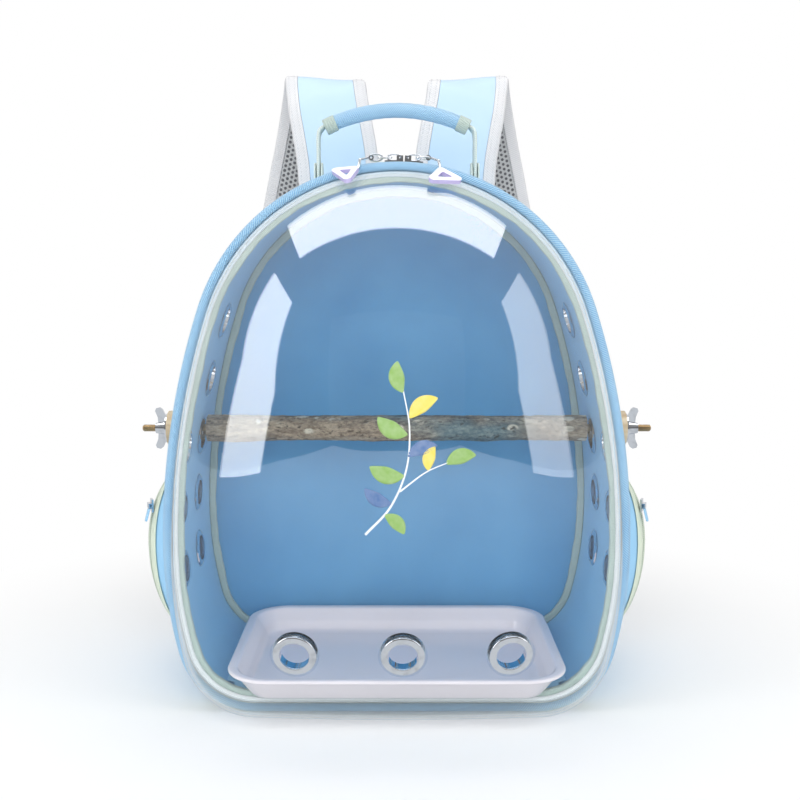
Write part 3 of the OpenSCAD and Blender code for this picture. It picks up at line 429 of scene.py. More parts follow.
def outwards(verts, faces, maps):
    """Turns all faces round if the closed surface has a negative volume. The volume is the sum of the
    wedges between each triangle and the origin."""
    volume = 0.0
    for size in (3, 4):
        some = np.array([f for f in faces if len(f) == size])
        if len(some):
            for a, b, c in ((0, 1, 2), (0, 2, 3))[: size - 2]:
                p, q, r = verts[some[:, a]], verts[some[:, b]], verts[some[:, c]]
                volume += np.einsum("ij,ij->i", p, np.cross(q, r)).sum() / 6
    if volume < 0:
        starts = np.r_[0, np.cumsum([len(f) for f in faces])]
        order = np.concatenate([np.arange(b - 1, a - 1, -1) for a, b in zip(starts[:-1], starts[1:])])
        faces, maps = [f[::-1] for f in faces], maps[order]
    return verts, faces, maps


def closed(name, P, finish, body, slot, hoop=False, tube=True, ends=False, uv=None, **more):
    """A closed piece from a grid, its faces turned outwards."""
    verts, faces, maps = outwards(*grid(P, hoop, tube, ends, uv))
    return piece(name, verts, faces, finish, body, slot, maps, **more)


def skins(front, rear):
    """One loop across a sheet: over its front, then back under its rear."""
    return np.concatenate([front, rear[:, ::-1]], 1)


def unit(v):
    """Directions divided by their lengths."""
    return v / np.linalg.norm(v, axis=-1)[..., None]


def run_along(points):
    """The run along a path: the sum of the steps up to each point."""
    return np.r_[0, np.cumsum(np.linalg.norm(np.diff(points, axis=0), axis=1))]


def tube(points, radius, sides=12, up=(0.0, 0.0, 1.0)):
    """Rings round a path: at each point two directions square to the path carry a circle of the radius
    there."""
    points = np.asarray(points, float)
    t = unit(np.gradient(points, axis=0))
    a = unit(np.cross(t, up))
    b = np.cross(t, a)
    w = np.linspace(0, TURN, sides, endpoint=False)
    radius = np.broadcast_to(radius, len(points))[:, None, None]
    c, s = np.cos(w)[None, :, None], np.sin(w)[None, :, None]
    return points[:, None] + radius * (c * a[:, None] + s * b[:, None])


def smooth_path(points, count):
    """A path that runs smoothly through the given points: each stretch is a cubic whose slopes follow its
    neighbours."""
    p = np.asarray(points, float)
    q = np.r_[2 * p[:1] - p[1:2], p, 2 * p[-1:] - p[-2:-1]]
    t = np.linspace(0, len(p) - 1 - 1e-9, count)
    i, f = np.floor(t).astype(int), (t % 1)[:, None]
    a, b, c, d = q[i], q[i + 1], q[i + 2], q[i + 3]
    return 0.5 * (2 * b + (c - a) * f + (2 * a - 5 * b + 4 * c - d) * f ** 2
                  + (3 * b - a - 3 * c + d) * f ** 3)


def copies(shape, places, axes):
    """Many copies of a small shape (points, faces): place plus the shape's points times three axes each."""
    verts, faces = shape
    count, size = len(places), len(verts)
    all_verts = places[:, None] + np.einsum("pk,nkd->npd", verts, axes)
    shift = (np.arange(count) * size)[:, None, None]
    all_faces = (np.asarray(faces)[None] + shift).reshape(-1, len(faces[0]))
    return all_verts.reshape(-1, 3), all_faces.tolist()


def bead_shape(half, round_=1.0, sides=6, rings=4):
    """A small closed pill along its first axis: rings whose width follows a half circle, pinched to a
    point at each end."""
    t = np.linspace(-1, 1, rings + 2)[1:-1]
    w = np.linspace(0, TURN, sides, endpoint=False)
    wide = (1 - np.abs(t) ** (2 / round_) * 0.75) ** 0.5
    P = np.stack(np.broadcast_arrays(half[0] * t[:, None], half[1] * wide[:, None] * np.cos(w),
                                     half[2] * wide[:, None] * np.sin(w)), 2)
    verts, faces, _ = outwards(*grid(P, tube=True, ends=True))
    tris = [t for f in faces for t in ([f] if len(f) == 3 else [f[:3], [f[0], f[2], f[3]]])]
    return verts, tris


def stitches(name, points, out, body, slot, finish, length=2.6, gap=1.0, width=0.45):
    """Thread: pills laid along a path every few millimetres, half sunk into the cloth."""
    run = run_along(points)
    count = max(2, int(run[-1] / ((length + gap) * MM)))
    s = (np.arange(count) + 0.5) / count * run[-1]
    at = np.stack([np.interp(s, run, points[:, k]) for k in range(3)], 1)
    ahead = np.stack([np.interp(s + 0.0005, run, points[:, k]) for k in range(3)], 1)
    t = ahead - at
    t /= np.linalg.norm(t, axis=1)[:, None] + 1e-12
    o = np.stack([np.interp(s, run, out[:, k]) for k in range(3)], 1)
    side = np.cross(t, o)
    verts, faces = copies(bead_shape((length / 2 * MM, width * MM, width * 0.6 * MM)), at,
                          np.stack([t, side, o], 1))
    return piece(name, verts, faces, finish, body, slot, np.zeros((3 * len(faces), 2)))

# %% [markdown]
# ## The outline
# The front rim, the walls, the back and the piping all follow one outline: a flat bottom, two round
# lower corners, long side arcs and a round crown, each tangent to the next. Every row of a piece sits
# on a point of it, and an inset moves that point along its outward direction.

# %% Outline
half_wide, crown_r, corner_r, floor_half, widest = 0.170, 0.149, 0.058, 0.104, 0.122
crown_z = 0.251
side_r, lower_r = 0.55571, 0.318
side_angle, lower_angle = 18.49, 14.25


def outline(count):
    """Evenly spaced points of the outline (x, z), their outward directions, and the run along it.
    Each arc gives centre plus radius times a direction, and the direction is also what points outwards."""
    arcs = [(floor_half, corner_r, corner_r, -90, -lower_angle),
            (half_wide - lower_r, widest, lower_r, -lower_angle, 0),
            (half_wide - side_r, widest, side_r, 0, side_angle),
            (0.0, crown_z, crown_r, side_angle, 180 - side_angle),
            (side_r - half_wide, widest, side_r, 180 - side_angle, 180),
            (lower_r - half_wide, widest, lower_r, 180, 180 + lower_angle),
            (-floor_half, corner_r, corner_r, 180 + lower_angle, 270)]
    points, ways = [], []
    for cx, cz, r, a0, a1 in arcs:
        w = np.radians(np.linspace(a0, a1, 200, endpoint=False))
        way = np.stack([np.cos(w), np.sin(w)], 1)
        points.append(np.array([cx, cz]) + r * way)
        ways.append(way)
    flat = np.linspace(-floor_half, floor_half, 200)
    points.append(np.stack([flat, 0 * flat], 1))
    ways.append(np.tile([0.0, -1.0], (200, 1)))
    p, w = np.concatenate(points), np.concatenate(ways)
    run = run_along(p)
    s = np.linspace(0, run[-1], count, endpoint=False)
    q = np.stack([np.interp(s, run, p[:, k]) for k in (0, 1)], 1)
    v = np.stack([np.interp(s, run, w[:, k]) for k in (0, 1)], 1)
    return q, unit(v), s


def at_rim(q, way, inset, depth):
    """Points at an inset along the outward direction and at a depth y, both in metres."""
    inset, depth = np.broadcast_arrays(inset, depth)
    if inset.ndim == 1:
        inset, depth = inset[None], depth[None]
    x = q[:, :1] + way[:, :1] * inset
    z = q[:, 1:] + way[:, 1:] * inset
    return np.stack([x, np.broadcast_to(depth, x.shape), z], 2)


def around_rim(name, profile, finish, body, slot, count=760, wobble=None, part=None, **more):
    """A closed profile (inset, depth in millimetres) carried round the outline."""
    q, way, s = outline(count)
    profile = np.asarray(profile, float) * MM
    inset, depth = np.tile(profile[:, 0], (count, 1)), np.tile(profile[:, 1], (count, 1))
    if wobble is not None:
        di, dy = wobble(s[:, None], profile[None, :, 0], profile[None, :, 1])
        inset, depth = inset + di, depth + dy
    P = at_rim(q, way, inset, depth)
    if part is None:
        return closed(name, P, finish, body, slot, hoop=True, **more)
    keep = part(q)
    start = int(np.argmax(~keep))
    P, keep = np.roll(P, -start, 0), np.roll(keep, -start, 0)
    return closed(name, P[keep], finish, body, slot, ends=True, **more)


def round_box(i0, i1, y0, y1, r, per=4):
    """A rectangle of insets and depths with rounded corners, as a loop."""
    w = np.linspace(0, np.pi / 2, per + 1)
    loop = []
    for k, (ci, cy) in enumerate([(i1 - r, y1 - r), (i0 + r, y1 - r), (i0 + r, y0 + r), (i1 - r, y0 + r)]):
        a = w + k * np.pi / 2
        loop.append(np.stack([ci + r * np.cos(a), cy + r * np.sin(a)], 1))
    return np.concatenate(loop)


def ring(ci, cy, r, sides=14):
    """A circle of insets and depths, as a loop."""
    w = np.linspace(0, TURN, sides, endpoint=False)
    return np.stack([ci + r * np.cos(w), cy + r * np.sin(w)], 1)


def not_hinge(q):
    """True away from the fabric hinge on the left edge."""
    return ~((q[:, 0] < -0.13) & (q[:, 1] > 0.0657) & (q[:, 1] < 0.1783))


def on_hinge(q):
    """True on the fabric hinge."""
    return (q[:, 0] < -0.13) & (q[:, 1] > 0.066) & (q[:, 1] < 0.178)


print("outline: %.0f mm round" % (outline(2000)[2][-1] * 1000))

# %% [markdown]
# ## Piping, welt, binding and frame of the door
# Piping is a cord with ribbed cloth sewn round it, so its seam runs along the inside. Next to it the
# door has a white welt and a sage binding. Both were pulled round the curve by hand, so their inner
# edges wander by half a millimetre.

# %% Rim of the door and back edge
def hand_sewn(amount, seed):
    """Small wandering of the free edge: three waves round the rim, stronger further from the outline."""
    def move(s, inset, depth):
        share = np.clip((-inset - 0.008) / 0.004, 0, 1)
        wave = np.sin(s * 61 + seed) + 0.7 * np.sin(s * 143 + 2 * seed) + 0.5 * np.sin(s * 317 + 3 * seed)
        return amount * MM * wave * share * 0.5, amount * MM * 0.4 * np.cos(s * 97 + seed) * share
    return move


around_rim("rim_cord", ring(-3.0, -80.0, 3.0, 18), piping_cloth, "door", "piping_cord", 1100,
           replaces="rim_piping")
around_rim("back_cord", ring(-3.0, 77.05, 3.0, 16), piping_cloth, "shell", "piping_cord", 900,
           replaces="back_piping")
around_rim("frame_band", round_box(-6.2, -3.4, -77.0, -72.5, 1.0), wall_cloth, "door", "door_cloth",
           replaces="door_frame")
around_rim("white_welt", round_box(-10.4, -6.5, -79.4, -77.0, 1.1), white_tape, "door", "welt_cloth", 900,
           wobble=hand_sewn(0.35, 1.0), replaces="dome_welt")
around_rim("sage_band", round_box(-14.0, -8.1, -77.0, -72.0, 1.3), sage_tape, "door", "sage_binding", 900,
           wobble=hand_sewn(0.6, 2.0), replaces="dome_binding")
around_rim("back_band", round_box(-12.2, -6.4, 69.5, 74.0, 1.2), sage_tape, "shell", "sage_binding", 760,
           wobble=hand_sewn(0.6, 4.0), replaces="back_binding")

q, way, s = outline(900)
loop = np.r_[np.arange(900), 0]
front = np.tile([0.0, -1.0, 0.0], (901, 1))
stitches("welt_thread", at_rim(q, way, np.array([-0.0094]), np.array([-0.0795]))[loop, 0], front, "door",
         "welt_cloth", white_tape)

# %% [markdown]
# ## Zip
# A zip has two woven tapes and a coil of nylon teeth along the edge of each. The tape is a flat band
# round the rim, left open at the hinge. The teeth are copies of one small pill, one every 1.6 mm, and
# the two rows stand half a pitch apart, as they would mesh.

# %% Zip tapes and teeth
def coil_finish():
    """Nylon monofilament: pale, half glossy."""
    f = Finish("zip_coil")
    clouds = f.noise(40.0)
    return f.surface(f.mix(clouds, rgb(196, 208, 190), rgb(160, 178, 162)), 0.35,
                     f.bump(f.noise(900.0), 0.02))


coil_nylon = coil_finish()
around_rim("shell_zip_tape", round_box(-3.4, -2.4, -69.55, -60.5, 0.45, 3), zip_tape, "shell",
           "sage_binding", part=not_hinge, replaces="zip_tape_body")
around_rim("door_zip_tape", round_box(-3.4, -2.4, -77.0, -70.45, 0.45, 3), zip_tape, "door", "sage_binding",
           part=not_hinge, replaces="zip_tape_door")
around_rim("shell_hinge_leaf", round_box(-3.4, -1.9, -69.55, -60.5, 0.6, 3), wall_cloth, "shell",
           "wall_cloth", part=on_hinge, replaces="hinge_leaf_body")
around_rim("door_hinge_leaf", round_box(-3.4, -1.9, -77.0, -70.45, 0.6, 3), wall_cloth, "door",
           "wall_cloth", part=on_hinge, replaces="hinge_leaf_door")


def teeth(name, depth, offset, body, node):
    """Teeth round the rim: a pill across the zip at each place, its long axis along y."""
    count = 760
    q, way, s = outline(count * 2)
    q, way = q[offset::2], way[offset::2]
    keep = not_hinge(q)
    q, way = q[keep], way[keep]
    places = at_rim(q, way, np.array([-0.00135]), np.array([depth * MM]))[:, 0]
    across = np.tile([0.0, 1.0, 0.0], (len(q), 1))
    up = np.stack([way[:, 0], 0 * way[:, 0], way[:, 1]], 1)
    along = np.cross(up, across)
    verts, faces = copies(bead_shape((0.9 * MM, 0.5 * MM, 1.05 * MM), 0.6), places,
                          np.stack([across, along, up], 1))
    return piece(name, verts, faces, coil_nylon, body, "zip_coil", np.zeros((3 * len(faces), 2)),
                 replaces=node)


teeth("shell_teeth", -68.62, 0, "shell", "zip_coil_body")
teeth("door_teeth", -71.38, 1, "door", "zip_coil_door")

# %% [markdown]
# ## Walls, back and floor
# The side wall is one long strip of padded cloth that goes round the whole shell. It is a grid along
# the outline and over the depth, with shallow folds between the seams. The eyelets need holes: points
# inside a hole slide out to its circle, and the faces that lie wholly inside it are left out.

# %% Side wall
def punch(verts, faces, maps, holes):
    """Cuts round holes. A hole is a point, a direction and a radius. A point closer to the line than the
    radius moves straight away from the line until it is on the circle."""
    starts = np.r_[0, np.cumsum([len(f) for f in faces])]
    owner = np.repeat(np.arange(len(faces)), np.diff(starts))
    flat = np.concatenate([np.asarray(f) for f in faces])
    inside = np.zeros(len(verts), int)
    for k, (point, axis, radius, reach) in enumerate(holes):
        d = verts - point
        along = d @ axis
        off = d - along[:, None] * axis
        far = np.linalg.norm(off, axis=1)
        hit = (far < radius) & (np.abs(along) < reach)
        inside[hit] = k + 1
        verts[hit] = verts[hit] + off[hit] * (radius / np.maximum(far[hit], 1e-6) - 1)[:, None]
    lost = np.bincount(owner, inside[flat] == 0, len(faces)) == 0
    keep = [f for f, gone in zip(faces, lost) if not gone]
    return verts, keep, maps[~lost[owner]]


def close_holes(obj):
    """Joins the two open edges of each hole, one on either face of the wall, with a narrow band."""
    bm = bmesh.new()
    bm.from_mesh(obj.data)
    bmesh.ops.delete(bm, geom=[v for v in bm.verts if not v.link_faces], context="VERTS")
    edges = [e for e in bm.edges if e.is_boundary]
    groups = {}
    for e in edges:
        mid = (e.verts[0].co + e.verts[1].co) / 2
        key = next((k for k in groups if (Vector(k) - mid).length < 0.02), None)
        if key is None:
            key = tuple(mid)
        groups.setdefault(key, []).append(e)
    for group in groups.values():
        bmesh.ops.bridge_loops(bm, edges=group)
    bmesh.ops.recalc_face_normals(bm, faces=bm.faces)
    for f in bm.faces:
        f.smooth = True
    bm.to_mesh(obj.data)
    left = sum(e.is_boundary for e in bm.edges)
    bm.free()
    return len(groups), left


def side_x(z, inset):
    """Half the width of the shell at height z: the side arcs' middle plus the rest of a right triangle."""
    z = np.asarray(z, float)
    upper = half_wide - side_r + np.sqrt((side_r + inset) ** 2 - (z - widest) ** 2)
    lower = half_wide - lower_r + np.sqrt((lower_r + inset) ** 2 - (widest - z) ** 2)
    return np.where(z >= widest, upper, lower)


def wall_way(z):
    """Outward direction (x, z) of the right wall at height z."""
    a = np.where(z >= widest, (z - widest) / side_r, -(widest - z) / lower_r)
    return np.stack([np.sqrt(1 - a ** 2), a], -1)


eyelet_z = 0.098 + 0.047 * np.arange(5)
eyelet_columns = ((0.018, eyelet_z), (-0.0425, eyelet_z[:3]))
eyelet_spots = [(side, y, z) for side in (-1, 1) for y, zs in eyelet_columns for z in zs]
holes = []
for side, y, z in eyelet_spots:
    w = wall_way(z)
    on_wall, outward = np.array([side * side_x(z, -0.0049), y, z]), np.array([side * w[0], 0.0, w[1]])
    holes.append((on_wall, outward, 0.01075, 0.006))

count, deep = 540, 66
q, way, s = outline(count)
y = np.linspace(-0.066, 0.074, deep)
edge = np.sin(np.pi * (y + 0.066) / 0.140)[None]
fold = (0.30 * np.sin(s * 74 + 3)[:, None] * np.cos(y * 42)[None] + 0.22 * np.sin(s * 41 + 1)[:, None]
        + 0.12 * np.sin(s[:, None] * 190 + y[None] * 120)) * edge ** 0.6 * MM
inner = at_rim(q, way, -0.00625 + fold * 0.4, y[None] + 0 * fold)
outer = at_rim(q, way, -0.0036 + fold * 0.3, y[None] + 0 * fold)
P = skins(outer, inner)
uv = np.stack(np.broadcast_arrays(np.r_[s, s[-1] + s[1]][:, None], np.r_[y, y[::-1], y[0]][None]), 2)
n, m = P.shape[:2]
i, j = (k.ravel() for k in np.meshgrid(np.arange(n), np.arange(m), indexing="ij"))
faces = np.stack([i * m + j, (i + 1) % n * m + j, (i + 1) % n * m + (j + 1) % m, i * m + (j + 1) % m], 1)
maps = np.stack([uv[i, j], uv[i + 1, j], uv[i + 1, j + 1], uv[i, j + 1]], 1).reshape(-1, 2)
verts, faces, maps = outwards(P.reshape(-1, 3), faces.tolist(), maps)
verts, faces, maps = punch(verts.copy(), faces, maps, holes)
wall = piece("wall_cloth_strip", verts, faces, wall_cloth, "shell", "wall_cloth", maps, replaces="side_wall")
print("side wall: holes and open edges left", close_holes(wall))

# %% [markdown]
# The back panel is a flat sheet with soft padding. Its grid is made of rings: from the middle of the
# front out to the edge, round the edge, and back to the middle of the rear face.

# %% Back panel
def plate(name, inset, y0, y1, finish, body, slot, puff=0.0, count=300, rings=26, edge=1.2,
          middle=(0.0, 0.19), **more):
    """A flat closed plate inside the outline: rings scaled from the middle to the inset outline, over the
    front, round the edge and over the rear. puff is how far each face swells between its edges."""
    q, way, s = outline(count)
    rim = q + way * inset
    mid = np.array(middle)
    k = np.linspace(0.02, 1, rings)
    swell = (1 - k ** 6) * puff
    r = edge * MM
    share = np.r_[k[:-1], [1.0] * 5, k[:-1][::-1]]
    depth = np.r_[(y0 - swell)[:-1], y0, y0 + r * 0.3, (y0 + y1) / 2, y1 - r * 0.3, y1,
                  (y1 + swell)[:-1][::-1]]
    pull = np.r_[0 * k[:-1], -r * 0.6, -r * 0.1, 0, -r * 0.1, -r * 0.6, 0 * k[:-1]]
    flat = mid + (rim - mid)[:, None] * share[None, :, None] + way[:, None] * pull[None, :, None]
    P = np.stack([flat[..., 0], np.broadcast_to(depth, flat.shape[:2]), flat[..., 1]], 2).transpose(1, 0, 2)
    return closed(name, P, finish, body, slot, ends=True, uv=P[..., [0, 2]], **more)


plate("back_sheet", -0.0062, 0.0741, 0.0779, panel_cloth_painted_shade, "shell", "back_cloth", replaces="back_panel")
print("back panel made")

# %% [markdown]
# ## The dome
# The dome is blown from clear sheet: steep at the bottom, more slanted at the top. On each ray from
# its middle a point runs from the rim to the tip; its share of the depth follows a quarter sine, and
# its share of the radius a rounded power of what is left. Both faces of the sheet are made, so that
# its thickness shows at the vents.

# %% Dome
dome_mid, dome_deep, dome_round = 0.180, 0.095, 2.2
dome_side, dome_top, dome_bottom = 1.75, 1.5, 3.3
dome_inset, dome_inner_inset, dome_thick = -0.0062, -0.0080, 0.0018


def dome_power(s):
    """How the section steepens: 1.5 straight up, 1.75 to the sides, 3.3 straight down."""
    return np.where(s > 0, dome_side + (dome_top - dome_side) * s,
                    dome_side + (dome_bottom - dome_side) * s ** 2)


def dome_skin(inset, depth, count, rings):
    """Rings from the skirt behind the rim plane over the dome to its tip."""
    q, way, s = outline(count)
    p = q + way * inset
    v = p - np.array([0.0, dome_mid])
    power = dome_power(v[:, 1] / np.linalg.norm(v, axis=1))
    level = np.sin(np.linspace(0, 0.995, rings) * np.pi / 2)
    rho = np.clip(1 - level[:, None] ** power[None], 0, 1) ** (1 / dome_round)
    flat = v[None] * rho[..., None]
    y = np.broadcast_to((RIM_Y - depth * level)[:, None], rho.shape)
    dome = np.stack([flat[..., 0], y, dome_mid + flat[..., 1]], 2)
    skirt = np.stack([p[:, 0], np.full(count, -0.072), p[:, 1]], 1)[None]
    return np.concatenate([skirt, dome])


def dome_height(x, z):
    """How far the outer face stands in front of the rim at x, z, from the ray to the outline there."""
    q, way, s = outline(4000)
    p = q + way * dome_inset - np.array([0.0, dome_mid])
    a = np.arctan2(p[:, 1], p[:, 0])
    order = np.argsort(a)
    reach = np.interp(np.arctan2(z - dome_mid, x), a[order], np.linalg.norm(p, axis=1)[order], period=TURN)
    r = np.hypot(x, z - dome_mid)
    s_ = (z - dome_mid) / np.maximum(r, 1e-9)
    return dome_deep * np.clip(1 - (r / reach) ** dome_round, 0, 1) ** (1 / dome_power(s_))


def dome_way(x, z, e=0.0005):
    """Outward direction of the dome at x, z, from its slopes."""
    gx = (dome_height(x + e, z) - dome_height(x - e, z)) / (2 * e)
    gz = (dome_height(x, z + e) - dome_height(x, z - e)) / (2 * e)
    return unit(np.stack(np.broadcast_arrays(-gx, -1.0, -gz), -1))


vent_x, vent_z = 0.004 + 0.071 * np.array([-1, 0, 1]), 0.074
outer_skin = dome_skin(dome_inset, dome_deep, 400, 78)
inner_skin = dome_skin(dome_inner_inset, dome_deep - dome_thick, 400, 78)
P = np.concatenate([outer_skin[::-1], inner_skin])
verts, faces, maps = outwards(*grid(P, tube=True, ends=True, uv=P[..., [0, 2]]))
vents = []
for x in vent_x:
    point = np.array([x, RIM_Y - float(dome_height(x, vent_z)), vent_z])
    vents.append((point, dome_way(x, vent_z), 0.0108, 0.012))
verts, faces, maps = punch(verts.copy(), faces, maps, vents)
dome = piece("dome_sheet", verts, faces, dome_clear, "door", "clear_dome", maps, sharp=50,
             replaces="clear_dome")
print("dome: vents and open edges left", close_holes(dome))
dome.data.set_sharp_from_angle(angle=np.radians(50))

# %% [markdown]
# ## Printed sprig
# A small sprig is printed on the dome: white stems with leaves in green, yellow and blue. Each leaf is
# a flat almond, drawn on the plane and then laid on the dome's outer face, about a tenth of a millimetre
# above it. The half width is a power of a sine over the leaf's length.

# %% Sprig
def print_ink(name, colour):
    f = Finish(name)
    return f.surface(f.mix(f.noise(220.0) * 0.25, colour, (0.9, 0.9, 0.9, 1.0)), 0.4)


ink = {"white": print_ink("ink_white", rgb(226, 232, 238)),
       "green": print_ink("ink_green", rgb(122, 168, 62)),
       "yellow": print_ink("ink_yellow", rgb(226, 206, 60)), "blue": print_ink("ink_blue", rgb(44, 96, 156))}


def on_dome(flat, lift):
    """Points (x, z) of the front plane laid on the dome."""
    return np.stack([flat[..., 0], RIM_Y - dome_height(flat[..., 0], flat[..., 1]) - lift, flat[..., 1]], -1)


def printed(name, centre_line, half, colour):
    """A strip of print: a line of points and the half width at each, with a front and a rear skin."""
    t = np.gradient(centre_line, axis=0)
    t /= np.linalg.norm(t, axis=1)[:, None] + 1e-12
    side = np.stack([-t[:, 1], t[:, 0]], 1)
    a = np.linspace(-1, 1, 7)
    flat = centre_line[:, None] + side[:, None] * (a[None] * half[:, None])[..., None]
    P = skins(on_dome(flat, 0.00012), on_dome(flat, 0.00004))
    return closed(name, P, ink[colour], "door", "welt_cloth", ends=True)


def leaf(name, foot, angle, length, wide, colour):
    t = np.linspace(0.01, 0.99, 26)
    w = np.radians(angle)
    bend = 0.12 * np.sin(np.pi * t) * length
    line = np.array(foot) + np.stack([np.cos(w) * t * length - np.sin(w) * bend,
                                      np.sin(w) * t * length + np.cos(w) * bend], 1)
    printed(name, line, wide / 2 * np.sin(np.pi * t) ** 0.8, colour)


def stem(name, points, wide):
    line = smooth_path(np.array(points, float), 60)
    printed(name, line, wide / 2 * np.linspace(1, 0.45, 60), "white")


stem("sprig_stem", [(-0.020, 0.158), (-0.004, 0.176), (0.006, 0.200), (0.008, 0.226), (0.004, 0.250)], 0.0016)
stem("sprig_twig", [(0.002, 0.186), (0.018, 0.198), (0.032, 0.204)], 0.0012)
leaves = [((0.004, 0.248), 100, 0.020, 0.010, "green"), ((0.008, 0.232), 35, 0.022, 0.010, "yellow"),
          ((0.007, 0.222), 150, 0.022, 0.011, "green"), ((0.007, 0.208), 20, 0.020, 0.009, "blue"),
          ((0.005, 0.196), 165, 0.023, 0.011, "green"), ((0.031, 0.203), 15, 0.020, 0.010, "green"),
          ((0.020, 0.199), 75, 0.016, 0.008, "yellow"), ((-0.003, 0.178), 150, 0.020, 0.009, "blue"),
          ((-0.008, 0.171), 315, 0.018, 0.009, "green")]
for k, (foot, angle, length, wide, colour) in enumerate(leaves):
    leaf("sprig_leaf_%d" % k, foot, angle, length, wide, colour)
print("sprig:", len(leaves), "leaves")

# %% [markdown]
# ## Side pockets
# Each side has a zipped pocket that stands off the wall like a loaf. Its cloth rises from the edges by
# a product of two rounded powers, one over the depth and one over the height. It lies on the wall only
# along its edges.

# %% Pockets
pocket_y0, pocket_y1, pocket_z0, pocket_z1 = -0.060, 0.058, 0.046, 0.176


def pocket_rise(u, v):
    """Height of the cloth over the wall, in metres, at u over the depth and v over the height, each from
    -1 to 1: 2 mm plus 25 mm times two rounded powers."""
    a = np.clip(1 - np.abs(u) ** 3.4, 0, 1) ** 0.8
    b = np.clip(1 - np.abs(v) ** 2.4, 0, 1) ** 0.9
    return (2.0 + 25.0 * a * b) * MM


def on_pocket(u, v, h, side):
    """A point over the wall, raised by h along the wall's outward direction."""
    z = (pocket_z0 + pocket_z1) / 2 + v * (pocket_z1 - pocket_z0) / 2
    w = wall_way(z)
    x = side_x(z, -0.00325) + h * w[..., 0]
    y = (pocket_y0 + pocket_y1) / 2 + u * (pocket_y1 - pocket_y0) / 2
    return np.stack(np.broadcast_arrays(side * x, y, z + h * w[..., 1]), -1)


def pocket(side, word):
    t = np.sin(np.linspace(-1, 1, 58) * np.pi / 2)
    u, v = np.meshgrid(t, t, indexing="ij")
    crease = 0.35 * np.sin(u * 9 + v * 3) * np.sin(v * 7 - 1) * (1 - u ** 2) * (1 - v ** 2) * MM
    front = on_pocket(u, v, pocket_rise(u, v) + crease, side)
    back = on_pocket(u, v, np.where(np.maximum(np.abs(u), np.abs(v)) > 0.985, 0.0, 2.2) * MM, side)
    P = skins(front, back)
    wide = np.array([pocket_y1 - pocket_y0, pocket_z1 - pocket_z0]) / 2
    flat = np.stack([u * wide[0], v * wide[1]], 2)
    verts, faces, maps = grid(P, tube=True, ends=True, uv=skins(flat, flat))
    # the two ends are flat strips, not fans
    n, m = P.shape[:2]
    faces, maps = faces[: (n - 1) * m], maps[: 4 * (n - 1) * m]
    half = m // 2
    for row, turn in ((0, 1), (n - 1, -1)):
        k = np.arange(half - 1)
        strip = np.stack([row * m + k, row * m + k + 1, row * m + m - 2 - k, row * m + m - 1 - k], 1)
        faces += strip[:, ::turn].tolist()
        maps = np.r_[maps, np.zeros((4 * len(strip), 2))]
    verts, faces, maps = outwards(verts[: n * m], faces, maps)
    piece(word + "_pocket_bag", verts, faces, pocket_cloth, "shell", "pocket_cloth", maps,
                    replaces=word + "_pocket")
    # cord round the edge
    w = np.linspace(0, TURN, 240, endpoint=False)
    c, s_ = np.cos(w), np.sin(w)
    r = (np.abs(c) ** 14 + np.abs(s_) ** 14) ** (-1 / 14)
    path = on_pocket(c * r * 0.985, s_ * r * 0.985, np.full(240, 2.2 * MM), side)
    P = tube(np.r_[path[-3:], path, path[:3]], 1.3 * MM, 10, up=(side * 1.0, 0.0, 0.001))[3:-3]
    closed(word + "_pocket_cord", P, piping_cloth, "shell", "pocket_cloth", hoop=True)
    # zip: two tapes and a row of teeth
    for k, (u0, u1) in enumerate(((-0.84, -0.705), (-0.695, -0.56))):
        vv = np.linspace(-0.93, 0.93, 90)[:, None]
        uu = np.linspace(u0, u1, 6)[None]
        low = on_pocket(uu, vv, pocket_rise(uu, vv) + 0.75 * MM, side)
        high = on_pocket(uu, vv, pocket_rise(uu, vv) + 1.4 * MM, side)
        closed("%s_pocket_tape_%d" % (word, k), skins(low, high), zip_tape, "shell", "sage_binding",
               ends=True, replaces=(word + "_pocket_zip",))
    vv = np.linspace(-0.92, 0.92, 86)
    places = on_pocket(-0.70 + 0 * vv, vv, pocket_rise(-0.70 + 0 * vv, vv) + 1.55 * MM, side)
    up = on_pocket(-0.70 + 0 * vv, vv, pocket_rise(-0.70 + 0 * vv, vv) + 3 * MM, side) - places
    up /= np.linalg.norm(up, axis=1)[:, None]
    across = on_pocket(-0.69 + 0 * vv, vv, pocket_rise(-0.69 + 0 * vv, vv) + 1.55 * MM, side) - places
    across /= np.linalg.norm(across, axis=1)[:, None]
    verts, faces = copies(bead_shape((1.9 * MM, 0.45 * MM, 0.5 * MM), 0.6), places,
                          np.stack([across, np.cross(up, across), up], 1))
    piece(word + "_pocket_teeth", verts, faces, coil_nylon, "shell", "zip_coil",
          np.zeros((3 * len(faces), 2)))


pocket(-1, "left")
pocket(1, "right")
print("pockets rise by %.0f mm" % (pocket_rise(0.0, 0.0) * 1000))

# %% [markdown]
# ## Shoulder straps
# A strap is a flat pad: blue cloth on the outside, mesh on the inside, and a white binding folded over
# both edges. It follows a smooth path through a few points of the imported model, and its section is
# thick in the middle and drawn in at the edges.

# %% Straps
strap_y = 0.0848
strap_points = np.array([
    (47, 0, 351), (48, 0, 372), (49, 0, 396), (51, 2, 421), (55, 7, 445), (59, 14, 466), (61, 22, 480),
    (63, 33, 488), (65, 45, 487), (68, 56, 477), (72, 64, 458), (78, 70, 431), (86, 74, 396),
    (94, 75, 355), (100, 73, 310), (104, 67, 262), (106, 57, 218)], float) * MM + np.array([0, strap_y, 0])
web_points = np.array([
    (106, 54, 205), (107, 48, 182), (112, 35, 145), (119, 19, 104), (127, 3.3, 70), (130, -2.7, 56),
    (130, -2.7, 36)], float) * MM + np.array([0, strap_y, 0])


